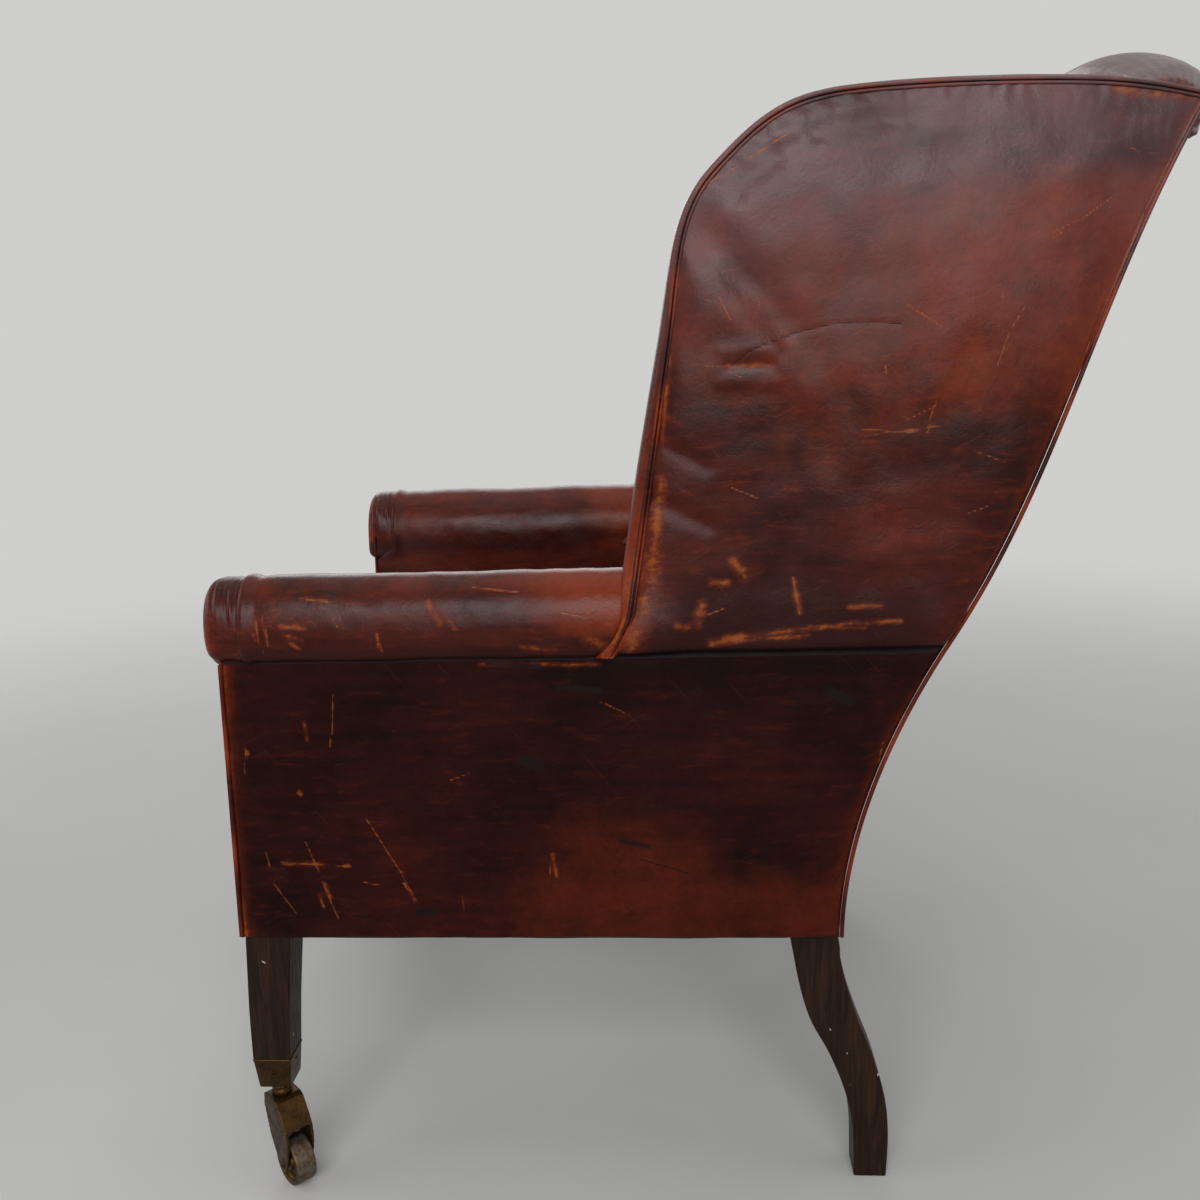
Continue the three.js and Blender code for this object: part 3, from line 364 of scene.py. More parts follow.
def outline_distance(points, outline):
    """Least distance of side-view points from a line of many points."""
    best = np.full(len(points), 9.0)
    for a, b in zip(outline[:-1], outline[1:]):
        best = np.minimum(best, line_distance(points, a, b))
    return best


# Meshes


def placed(x, run, z):
    """Points of the chair from distance to the side, run and height."""
    return np.stack(np.broadcast_arrays(x, run + FRONT_Y, z), -1).astype(float)


def skin(rings, closed=False):
    """Faces through rings of points, an array (rings, points, 3). The ends join up, or each is closed by a fan to
    its own middle."""
    n, m, _ = rings.shape
    i, j = np.meshgrid(np.arange(n if closed else n - 1), np.arange(m), indexing="ij")
    k, h = (j + 1) % m, (i + 1) % n
    quads = np.stack([i * m + j, i * m + k, h * m + k, h * m + j], -1).reshape(-1, 4)
    points = rings.reshape(-1, 3)
    if closed:
        return points, quads, np.zeros((0, 3), int)
    j = np.arange(m)
    k = (j + 1) % m
    first = np.stack([k, j, np.full(m, n * m)], -1)
    last = np.stack([(n - 1) * m + j, (n - 1) * m + k, np.full(m, n * m + 1)], -1)
    points = np.concatenate([points, rings[:1].mean(1), rings[-1:].mean(1)])
    return points, quads, np.concatenate([first, last])


def slab(front, back):
    """A closed body between two grids of points with the same rows and columns."""
    n, m, _ = front.shape
    index = np.arange(n * m).reshape(n, m)
    face = np.stack([index[:-1, :-1], index[1:, :-1], index[1:, 1:], index[:-1, 1:]], -1).reshape(-1, 4)
    rim = np.concatenate([index[:-1, 0], index[-1, :-1], index[:0:-1, -1], index[0, :0:-1]])
    after = np.roll(rim, -1)
    edge = np.stack([after, rim, rim + n * m, after + n * m], -1)
    points = np.concatenate([front.reshape(-1, 3), back.reshape(-1, 3)])
    return points, np.concatenate([face, face[:, ::-1] + n * m, edge]), np.zeros((0, 3), int)


def lidded(front, x):
    """A closed body from a grid of points, its rim carried to a flat plane and a fan over the plane."""
    n, m, _ = front.shape
    index = np.arange(n * m).reshape(n, m)
    face = np.stack([index[:-1, :-1], index[1:, :-1], index[1:, 1:], index[:-1, 1:]], -1).reshape(-1, 4)
    rim = np.concatenate([index[:-1, 0], index[-1, :-1], index[:0:-1, -1], index[0, :0:-1]])
    points = front.reshape(-1, 3)
    low = points[rim] * [0, 1, 1] + [x, 0, 0]
    here = n * m + np.arange(len(rim))
    edge = np.stack([np.roll(rim, -1), rim, here, np.roll(here, -1)], -1)
    fan = np.stack([np.roll(here, -1), here, np.full(len(rim), n * m + len(rim))], -1)
    return np.concatenate([points, low, low.mean(0)[None]]), np.concatenate([face, edge]), fan


def tube(path, radius, sides=8, closed=False, flat=1.0, towards=(1.0, 0.0, 0.0)):
    """Rings of an ellipse carried along a path. One radius points towards the side given, the other, scaled by
    flat, lies square to it and to the path."""
    ahead = np.roll(path, -1, 0) - np.roll(path, 1, 0) if closed else np.gradient(path, axis=0)
    ahead /= np.linalg.norm(ahead, axis=1)[:, None]
    across = np.cross(ahead, np.asarray(towards))
    across /= np.linalg.norm(across, axis=1)[:, None]
    up = np.cross(across, ahead)
    a = np.linspace(0, 2 * np.pi, sides, endpoint=False)
    r = np.reshape(radius, (-1, 1, 1)) * np.ones((len(path), 1, 1))
    return path[:, None] + r * (
        np.cos(a)[None, :, None] * up[:, None] + flat * np.sin(a)[None, :, None] * across[:, None]
    )


def coons(bottom, top, front, rear):
    """Points (rows upwards, columns rearwards) of the patch that blends four side-view border lines: the sum of
    both straight blends less the blend of the corners."""
    u = np.linspace(0, 1, len(bottom))[None, :, None]
    v = np.linspace(0, 1, len(front))[:, None, None]
    ruled = (1 - v) * bottom[None] + v * top[None] + (1 - u) * front[:, None] + u * rear[:, None]
    corners = (1 - u) * (1 - v) * bottom[0] + u * (1 - v) * bottom[-1] + (1 - u) * v * top[0] + u * v * top[-1]
    return ruled - corners


def add(name, shape, material, body="chair", replaces=(), side=1.0, wear_and_shade=None):
    """Makes the object of a piece, with its faces turned outwards, its rubbed and stained marks and painted shade,
    material, body and the CAD nodes that it stands for."""
    points, quads, fans = shape
    points = points * [side, 1, 1]
    volume = 0.0
    for faces, order in ((quads, (0, 1, 2)), (quads, (0, 2, 3)), (fans, (0, 1, 2))):
        if len(faces):
            a, b, c = (points[faces[:, k]] for k in order)
            volume += np.einsum("ij,ij->", a, np.cross(b, c))
    if volume < 0:
        quads, fans = quads[:, ::-1], fans[:, ::-1]
    mesh = bpy.data.meshes.new(name)
    mesh.from_pydata(points.tolist(), [], quads.tolist() + fans.tolist())
    mesh.polygons.foreach_set("use_smooth", np.ones(len(mesh.polygons), bool))
    marks = np.zeros((len(points), 5), np.float32)
    marks[:, 4] = 0.5
    for channel, values in (wear_and_shade or {}).items():
        values = np.ravel(values)
        values = np.clip((values + 1) / 2 if channel == "warmth_and_shade" else values, 0, 1)
        marks[: len(values), MARKS.index(channel)] = values
    layer = mesh.attributes.new("marks", "FLOAT_COLOR", "POINT")
    layer.data.foreach_set("color", marks[:, :4].ravel())
    layer = mesh.attributes.new("warmth_and_shade", "FLOAT", "POINT")
    layer.data.foreach_set("value", np.ascontiguousarray(marks[:, 4]))
    mesh.materials.append(material)
    mesh.update()
    piece = bpy.data.objects.new(name, mesh)
    bpy.context.scene.collection.objects.link(piece)
    return joined_to_chair(piece, body, replaces)


def joined_to_chair(piece, body, replaces):
    """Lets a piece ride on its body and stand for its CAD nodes."""
    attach(piece, body)
    if replaces:
        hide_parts(*replaces)
    return piece


def swelled(piece, free, pressure, cap, frames=20):
    """Lets the free points of a piece swell as cloth under pressure, the others being held, and limits how far
    each point moves."""
    rest = np.zeros(len(piece.data.vertices) * 3)
    piece.data.vertices.foreach_get("co", rest)
    group = piece.vertex_groups.new(name="held")
    held = np.flatnonzero(free < 0.999)
    for level in np.unique(np.round(free[held], 1)):
        members = held[np.round(free[held], 1) == level]
        group.add(members.tolist(), float(1 - level), "REPLACE")
    modifier = piece.modifiers.new("Cloth", "CLOTH")
    cloth = modifier.settings
    cloth.quality = 5
    cloth.mass = 0.4
    cloth.tension_stiffness = cloth.compression_stiffness = 30
    cloth.shear_stiffness = 15
    cloth.bending_stiffness = 3
    cloth.vertex_group_mass = "held"
    cloth.use_pressure = True
    cloth.uniform_pressure_force = pressure
    cloth.effector_weights.gravity = 0
    modifier.collision_settings.use_collision = False
    scene = bpy.context.scene
    for number in range(1, frames + 1):
        scene.frame_set(number)
    depsgraph = bpy.context.evaluated_depsgraph_get()
    moved = np.zeros_like(rest)
    piece.evaluated_get(depsgraph).data.vertices.foreach_get("co", moved)
    piece.modifiers.remove(modifier)
    piece.vertex_groups.clear()
    scene.frame_set(1)
    step = (moved - rest).reshape(-1, 3)
    far = np.linalg.norm(step, axis=1)[:, None]
    step *= np.minimum(1, cap / np.maximum(far, 1e-9))
    piece.data.vertices.foreach_set("co", (rest.reshape(-1, 3) + step).ravel())
    piece.data.update()
    return piece


# Materials


class Finish:
    """A material's node tree, with short ways to add and join nodes."""

    def __init__(self, name):
        self.material = bpy.data.materials.new(name)
        self.material.use_nodes = True
        self.tree = self.material.node_tree
        self.shader = self.tree.nodes["Principled BSDF"]
        self.place = self.node("ShaderNodeTexCoord").outputs["Object"]

    def node(self, kind, links=(), **settings):
        """Adds a node, sets its properties and joins its inputs; a link's value is a socket or a plain value."""
        made = self.tree.nodes.new(kind)
        for key, value in settings.items():
            setattr(made, key, value)
        for key, value in dict(links).items():
            self.feed(made.inputs[key], value)
        return made

    def feed(self, socket, value):
        """Joins a socket to another, or sets its value."""
        if isinstance(value, bpy.types.NodeSocket):
            self.tree.links.new(value, socket)
        else:
            socket.default_value = value

    def combined(self, operation, a, b, clamp):
        """Two numbers combined by one sum, held between 0 and 1 where clamp is set."""
        return self.node("ShaderNodeMath", {0: a, 1: b}, operation=operation, use_clamp=clamp).outputs[0]

    def plus(self, a, b, clamp=False):
        """a + b."""
        return self.combined("ADD", a, b, clamp)

    def less(self, a, b, clamp=False):
        """a - b."""
        return self.combined("SUBTRACT", a, b, clamp)

    def times(self, a, b, clamp=False):
        """a times b."""
        return self.combined("MULTIPLY", a, b, clamp)

    def greater(self, a, b, clamp=False):
        """The greater of a and b."""
        return self.combined("MAXIMUM", a, b, clamp)

    def ramp(self, value, low, high, to_low=0.0, to_high=1.0):
        """Maps a range of a value to another, smoothly."""
        links = {"Value": value, "From Min": low, "From Max": high, "To Min": to_low, "To Max": to_high}
        return self.node("ShaderNodeMapRange", links, interpolation_type="SMOOTHSTEP").outputs[0]

    def mix(self, factor, a, b):
        """A blend of two colours."""
        made = self.node("ShaderNodeMix", data_type="RGBA")
        self.feed(made.inputs["Factor"], factor)
        self.feed(made.inputs[6], a)
        self.feed(made.inputs[7], b)
        return made.outputs[2]

    def noise(self, scale, detail=4.0, rough=0.55, place=None, warp=0.0):
        """Cloudy noise at so many clouds a metre."""
        links = {"Vector": place or self.place, "Scale": scale, "Detail": detail, "Roughness": rough}
        links["Distortion"] = warp
        return self.node("ShaderNodeTexNoise", links).outputs[0]

    def cells(self, scale, feature="F1", place=None):
        """Distance in a pattern of irregular cells."""
        links = {"Vector": place or self.place, "Scale": scale}
        return self.node("ShaderNodeTexVoronoi", links, feature=feature).outputs["Distance"]

    def stretched(self, scale):
        """Object coordinates scaled along each axis."""
        return self.node("ShaderNodeMapping", {"Vector": self.place, "Scale": scale}).outputs[0]

    def turned(self, angle, scale):
        """Object coordinates turned about the side's axis, then stretched along each axis."""
        links = {"Vector": self.place, "Rotation": (angle, 0, 0), "Scale": scale}
        return self.node("ShaderNodeMapping", links, vector_type="TEXTURE").outputs[0]

    def hairs(self, angle, scale):
        """Sparse hairline scratches in one direction: peaks of long thin noise."""
        return self.ramp(self.noise(scale, 1, 0.4, self.turned(angle, (1.0, 28.0, 1.0))), 0.735, 0.775)

    def bump(self, height, strength, distance, normal=None):
        """A normal bent by a height."""
        made = self.node("ShaderNodeBump", {"Height": height, "Strength": strength, "Distance": distance})
        if normal is not None:
            self.feed(made.inputs["Normal"], normal)
        return made.outputs[0]

    def set(self, **values):
        """Feeds the shader's sockets by name, with spaces written as underscores."""
        for key, value in values.items():
            self.feed(self.shader.inputs[key.replace("_", " ")], value)


def leather(name, base, warm_share, shine):
    """Waxed leather: a cloudy base between dark and warm, worn through to tan on rubbed edges, in scuffs and in
    scratches, stained near black, with painted shade near black in creases, tucks and seams, painted shade darkening
    undersides, a painted mauve-grey sheen high up, and pores, crinkles and creases."""
    look = bpy.context.scene.leather_look
    f = Finish(name)
    marks = f.node("ShaderNodeAttribute", attribute_name="marks").outputs
    split = f.node("ShaderNodeSeparateColor", {"Color": marks["Color"]}).outputs
    scratch, scuff, stain_and_shade, fold = split[0], split[1], split[2], marks["Alpha"]
    broad = f.noise(5.5, 6, 0.6)
    middle = f.noise(24, 7, 0.65)
    fine = f.noise(130, 6, 0.7)
    streaks = f.noise(30, 5, 0.6, f.stretched((1.0, 0.35, 2.2)))
    tone = f.plus(f.times(broad, 0.7), f.times(streaks, 0.3))
    warmth_and_shade = f.node("ShaderNodeAttribute", attribute_name="warmth_and_shade").outputs["Fac"]
    # Painted shade: where the fifth mark is under a half, the leather is darkened towards its dark tone, on
    # undersides, tucks and the lower wing.
    shade = f.less(1.0, f.ramp(warmth_and_shade, 0.0, 0.5))
    warmth_and_shade = f.less(f.times(warmth_and_shade, 2.0), 1.0, clamp=True)
    dark = [c * 0.30 for c in base[:3]] + [1]
    colours = f.mix(f.ramp(tone, 0.38, 0.58), dark, list(base))
    colours = f.mix(f.ramp(tone, 0.53, 0.72, 0, 0.38 * warm_share), colours, list(look.glow))
    smear = f.noise(75, 7, 0.7, f.stretched((1.0, 0.35, 1.9)))
    colours = f.mix(f.ramp(smear, 0.53, 0.70, 0, 0.34 * warm_share), colours, list(look.glow))
    colours = f.mix(f.ramp(smear, 0.36, 0.47, 0.40, 0), colours, dark)
    colours = f.mix(f.times(shade, 0.85), colours, dark)
    cloudy = f.times(f.less(middle, 0.5), 0.9)
    warm = f.times(f.ramp(f.plus(warmth_and_shade, cloudy), 0.10, 1.0), f.ramp(warmth_and_shade, 0.0, 0.15))
    colours = f.mix(f.times(warm, 0.9 * warm_share), colours, list(look.glow))
    colours = f.mix(f.ramp(fine, 0.40, 0.75, 0, 0.30), colours, dark)
    # Painted sheen: a mauve-grey mixed into the colour by height and cloudy noise, standing in for the high light's
    # reflection.
    high = f.ramp(f.node("ShaderNodeSeparateXYZ", {0: f.place}).outputs["Z"], 0.78, 1.06)
    painted_sheen = f.times(high, f.ramp(broad, 0.30, 0.62, 0.22 * warm_share, 0.52 * warm_share))
    colours = f.mix(painted_sheen, colours, list(look.painted_sheen))
    brush = f.noise(240, 6, 0.7, f.turned(0.30, (1.0, 3.0, 1.0)))
    ragged = f.plus(f.times(f.less(brush, 0.5), 1.5), f.times(cloudy, 0.8))
    rubbed = f.times(f.ramp(f.plus(scuff, ragged), 0.05, 1.25), f.ramp(scuff, 0.0, 0.45))
    rubbed = f.times(rubbed, f.ramp(f.noise(46, 5, 0.65), 0.36, 0.60, 0.35, 1.0))
    flecks = f.ramp(f.noise(55, 2, 0.5, f.stretched((1, 1, 0.55))), 0.72, 0.79, 0, 0.40)
    rubbed = f.greater(rubbed, f.times(flecks, f.ramp(broad, 0.48, 0.64)))
    colours = f.mix(f.times(rubbed, 0.75), colours, f.mix(f.ramp(rubbed, 0.2, 0.9), list(look.glow), list(look.worn)))
    broken = f.times(f.less(fine, 0.5), 0.5)
    line = f.ramp(f.plus(scratch, broken), 0.78, 0.98)
    hair = f.plus(f.hairs(0.5, 420), f.hairs(-0.9, 360))
    colours = f.mix(f.times(line, 0.60), colours, list(look.worn))
    colours = f.mix(f.times(hair, 0.035), colours, list(look.worn))
    # Real stains, and painted shade near black along creases, tucks and seams, from the third channel of the marks.
    soiled_and_shaded = f.ramp(f.plus(stain_and_shade, f.times(ragged, 0.35)), 0.25, 0.9)
    soiled_and_shaded = f.times(soiled_and_shaded, f.ramp(stain_and_shade, 0.0, 0.1))
    colours = f.mix(f.times(soiled_and_shaded, 0.9), colours, list(look.stain_and_shade))
    # Painted shade in the creases: near black along the fold mark.
    creased = f.ramp(f.plus(fold, f.times(broken, 0.5)), 0.60, 0.92)
    colours = f.mix(f.times(creased, 0.7), colours, list(look.stain_and_shade))
    rough = f.plus(f.ramp(middle, 0.3, 0.7, look.gloss - 0.05, look.gloss + 0.07), f.times(rubbed, 0.16))
    rough = f.plus(rough, f.times(soiled_and_shaded, 0.35), clamp=True)
    pores = f.times(f.cells(620, "SMOOTH_F1"), 0.22)
    crinkle = f.times(f.ramp(f.noise(210, 3, 0.55, warp=0.8), 0.35, 0.65),
        f.ramp(f.noise(9, 3), 0.40, 0.7, 0.15, 0.8))
    height = f.plus(f.plus(pores, f.times(crinkle, 0.35)), f.times(fine, 0.4))
    height = f.less(height, f.times(f.plus(f.plus(creased, line), f.times(hair, 0.5)), 0.7))
    relief = f.bump(height, 0.24, 0.0010, f.bump(f.noise(16, 5, 0.6), 0.24, 0.006))
    f.set(Base_Color=colours, Roughness=rough, Normal=relief, Specular_IOR_Level=shine)
    return f.material


def timber(name, base, grain, gloss):
    """Sawn wood with its grain upright: stretched noise in bands, open pores and pale nicks."""
    f = Finish(name)
    along = f.stretched((1.0, 1.0, grain))
    bands = f.noise(90, 6, 0.65, along, 1.2)
    pores = f.noise(420, 3, 0.6, f.stretched((1.0, 1.0, grain * 0.4)))
    light = [min(1, c * 1.7) for c in base[:3]] + [1]
    dark = [c * 0.45 for c in base[:3]] + [1]
    colours = f.mix(f.ramp(bands, 0.35, 0.68), dark, light)
    colours = f.mix(f.ramp(pores, 0.52, 0.66, 0, 0.75), colours, dark)
    nicks = f.ramp(f.noise(130, 1, 0.4), 0.765, 0.79)
    colours = f.mix(f.times(nicks, 0.7), colours, (0.55, 0.50, 0.42, 1))
    rough = f.ramp(pores, 0.4, 0.7, gloss, gloss + 0.2)
    relief = f.bump(f.plus(bands, f.times(pores, -1.2)), 0.5, 0.0009)
    f.set(Base_Color=colours, Roughness=rough, Normal=relief, Specular_IOR_Level=0.15)
    return f.material


def aged_brass(name, base):
    """Brown brass: clouds of tarnish and a brighter rub on edges."""
    f = Finish(name)
    clouds = f.noise(70, 6, 0.65)
    fine = f.noise(520, 4, 0.6)
    edge = f.ramp(f.node("ShaderNodeNewGeometry").outputs["Pointiness"], 0.52, 0.62)
    dark = [c * 0.42 for c in base[:3]] + [1]
    bright = [min(1, c * 2.6) for c in base[:3]] + [1]
    colours = f.mix(f.ramp(f.plus(f.times(clouds, 0.6), f.times(fine, 0.4)), 0.38, 0.62), dark, list(base))
    colours = f.mix(f.times(edge, f.ramp(fine, 0.3, 0.6)), colours, bright)
    rough = f.ramp(f.plus(f.times(clouds, 0.6), f.times(fine, 0.4)), 0.35, 0.65, 0.56, 0.34)
    f.set(Base_Color=colours, Metallic=0.92, Roughness=rough, Normal=f.bump(f.plus(clouds, fine), 0.25, 0.0006))
    return f.material


def worn_tread(name, base):
    """The wheel's grey-brown running surface, dirty brass."""
    f = Finish(name)
    dirt = f.noise(160, 6, 0.7)
    colours = f.mix(f.ramp(dirt, 0.4, 0.62), (0.10, 0.085, 0.065, 1), list(base))
    f.set(Base_Color=colours, Metallic=0.6, Roughness=f.ramp(dirt, 0.3, 0.7, 0.65, 0.42),
        Normal=f.bump(dirt, 0.5, 0.0007))
    return f.material


def woven(name, base, threads, sheen):
    """Cloth: two crossed sets of threads, a rise and fall of colour and a little fuzz."""
    f = Finish(name)
    weave = f.times(*[
        f.node("ShaderNodeTexWave", {"Vector": f.place, "Scale": threads, "Distortion": 0.6, "Detail": 1.0},
               bands_direction=axis).outputs[1] for axis in ("X", "Y")])
    fuzz = f.noise(300, 4, 0.6)
    light = [min(1, c * 1.7) for c in base[:3]] + [1]
    f.set(Base_Color=f.mix(f.plus(f.times(weave, 0.6), f.times(fuzz, 0.4)), list(base), light),
          Roughness=0.92, Normal=f.bump(weave, 0.6, 0.0008), Sheen_Weight=sheen)
    return f.material


def wire_steel(name, base):
    """Dull drawn wire with specks of rust."""
    f = Finish(name)
    rust = f.ramp(f.noise(120, 5, 0.6), 0.52, 0.66)
    f.set(Base_Color=f.mix(rust, list(base), (0.16, 0.07, 0.03, 1)), Metallic=0.85, Roughness=0.48)
    return f.material


FINISHES = {}


class CHAIR_OT_finishes(bpy.types.Operator):
    """Makes the chair's materials and puts them on the CAD pieces that stay in sight or hidden inside."""

    bl_idname = "chair.finishes"
    bl_label = "Finishes"

    def execute(self, context):
        look, hard = context.scene.leather_look, context.scene.hardware_look
        FINISHES.update(
            wing=leather("wing_leather", look.wing, 1.0, 0.14),
            side=leather("side_leather", look.side, 0.35, 0.08),
            oak=timber("dark_oak", hard.oak, 0.09, 0.38),
            beech=timber("frame_timber", hard.beech, 0.12, 0.6),
            brass=aged_brass("aged_brass", hard.brass),
            tread=worn_tread("worn_tread", hard.brass),
            pin=aged_brass("pin_brass", [c * 0.3 for c in hard.brass[:3]] + [1]),
            steel=wire_steel("spring_steel", hard.steel),
            jute=woven("jute_webbing", hard.jute, 160.0, 0.2),
            cloth=woven("bottoming_cloth", hard.cloth, 420.0, 0.1),
        )
        kinds = {"rail": "beech", "stump": "beech", "frame": "beech", "spring": "steel", "webbing": "jute",
                 "castor": "brass", "cloth": "cloth", "leg": "oak", "post": "oak"}
        for name, node in frame["nodes"].items():
            kind = next((finish for word, finish in kinds.items() if word in name), "wing")
            node.data.materials.clear()
            node.data.materials.append(FINISHES[kind])
        return {"FINISHED"}


def wing_patch(edge_inset, rear_inset, step):
    """Side-view points of the wing from the crease to its edge, as rows upwards and columns rearwards, and the
    line round them."""
    s = sizes()
    edge = wing_edge(edge_inset, len(edge_inset))
    top_z = edge[-1, 1]
    z = np.linspace(s.crease_z + 0.0035, top_z, 300)
    rear = np.stack([back_run(z) - rear_inset, z], -1)
    edge = np.concatenate([edge, rear[-1:]])
    edge = edge[edge[:, 1] >= z[0]]
    half = np.linalg.norm(np.diff(edge, axis=0), axis=1).cumsum()
    split = int(np.searchsorted(half, half[-1] * 0.5))
    rows = int(0.47 / step)
    columns = int(0.45 / step)
    bottom = respaced(np.array([edge[0], rear[0]]), columns)
    patch = coons(bottom, respaced(edge[split:], columns), respaced(edge[: split + 1], rows), respaced(rear, rows))
    return patch, np.concatenate([respaced(edge, 160), respaced(rear, 60)[::-1]])


class CHAIR_OT_outside_wings(bpy.types.Operator):
    """Outside leather of the wings: swelled a little, turned in at the crease, pulled into folds at the front."""

    bl_idname = "chair.outside_wings"
    bl_label = "Outside wings"

    def execute(self, context):
        s = sizes()
        for name, side in SIDES.items():
            seen = side > 0
            patch, outline = wing_patch(seam_inset(300), 0.0045, s.grid if seen else 2 * s.grid)
            shape = patch.shape[:2]
            flat = patch.reshape(-1, 2)
            run, z = flat.T
            d = outline_distance(flat, outline)
            low = z - s.crease_z - 0.0035
            # Swell: from the seam's height to the full face as 1 - exp(-distance / soften), with a quarter circle
            # at the seam, a roll just above the crease and a quarter circle turned in at it.
            soften = 0.015 + 0.030 * smooth(0.85, 1.02, z)
            x = s.side_face + 0.0008 + (s.wing_face - s.side_face - 0.0008) * (1 - np.exp(-d / soften))
            x -= 0.0022 * (1 - np.sqrt(1 - np.clip(1 - d / 0.0022, 0, 1) ** 2))
            x += 0.0070 * np.exp(-((low - 0.02) / 0.024) ** 2) * np.exp(-d / 0.05)
            x -= (x - HIDDEN_X - 0.0005) * (1 - np.sqrt(1 - np.clip(1 - low / 0.008, 0, 1) ** 2))
            x += 0.0080 * flare(z) * (1 - smooth(0.0, 0.085, run - s.wing_front))
            # Unevenness, gathers of 13 mm along the rear of the top, and a shallow valley below its front.
            inner = 1 - np.exp(-d / 0.012)
            x += 0.0011 * inner * waves(run, z, 0.11, 3 if seen else 8) + 0.0004 * inner * waves(run, z, 0.035, 5)
            gather = np.exp(-d / 0.016) * smooth(0.60, 0.68, run) * smooth(0.98, 1.0, z)
            pleat = np.sin(run * 2 * np.pi / 0.013 + 4 * waves(run, z, 0.05, 2))
            x += 0.0004 * gather * (0.6 + waves(run, z, 0.04, 9)) * pleat
            valley = np.exp(-(((d - 0.028) / 0.010) ** 2)) * smooth(0.93, 1.0, z) * smooth(0.72, 0.60, run)
            x -= 0.0017 * valley
            pull = smooth(0.945, 1.0, z) * np.exp(-d / 0.03) * smooth(0.66, 0.58, run)
            x += 0.0006 * pull * waves(run + z, run - z, 0.022, 12)
            if seen:
                # The soft diagonal fold, the gouge with its raised rim, fine creases and pulls from the front.
                fade = smooth(0.600, 0.500, run) * inner
                x += fade * sum(rise * fold(flat, lines, width) for rise, width, lines in WING_FOLDS)
                x += sum(rise * fold(flat, [line], width) for rise, width, line in WING_DENTS)
                x -= 0.0004 * fold(flat, WING_CREASES, 0.0024)
            worn = np.exp(-d / 0.0035) * (0.30 + 0.40 * waves(run, z, 0.09, 21))
            rim = np.exp(-d / 0.02)
            warmth_and_shade = 1.0 * rim * smooth(0.74, 0.60, z) * smooth(0.50, 0.42, run)
            warmth_and_shade = warmth_and_shade + 0.4 * smooth(0.76, 0.84, z) * smooth(1.0, 0.95, z)
            # Darker low on the wing: partly its own darker leather, partly painted shade under the swell.
            warmth_and_shade = warmth_and_shade - 0.9 * smooth(0.70, 0.59, z) * (1 - rim)
            warmth_and_shade = warmth_and_shade + 0.35 * near(flat, [(560, 770, 700, 800), (700, 900, 760, 960)], 0.09)
            warmth_and_shade = warmth_and_shade + 0.5 * np.exp(-d / 0.012) * smooth(0.55, 0.65, run)
            wear_and_shade = {
                "scratch": near(flat, WING_SCRATCHES) if seen else near(flat, WING_SCRATCHES[::3]),
                "scuff": np.maximum(near(flat, WING_SCUFFS if seen else WING_SCUFFS[10::2]), worn),
                # Real stains, and painted shade near black on the wing's foot where it turns in at the crease.
                "stain_and_shade": np.maximum(0.45 * near(flat, WING_STAINS if seen else []), 0.9 * np.exp(-low / 0.007)),
                # Painted shade along the fine creases.
                "fold": near(flat, WING_CREASES, 0.0035) if seen else 0 * x,
                "warmth_and_shade": warmth_and_shade,
            }
            shape = lidded(placed(x, run, z).reshape(*shape, 3), HIDDEN_X + 0.0002)
            piece = add("outside_wing_cover_" + name, shape, FINISHES["wing"],
                        replaces=["outside_wing_" + name], side=side, wear_and_shade=wear_and_shade)
        return {"FINISHED"}


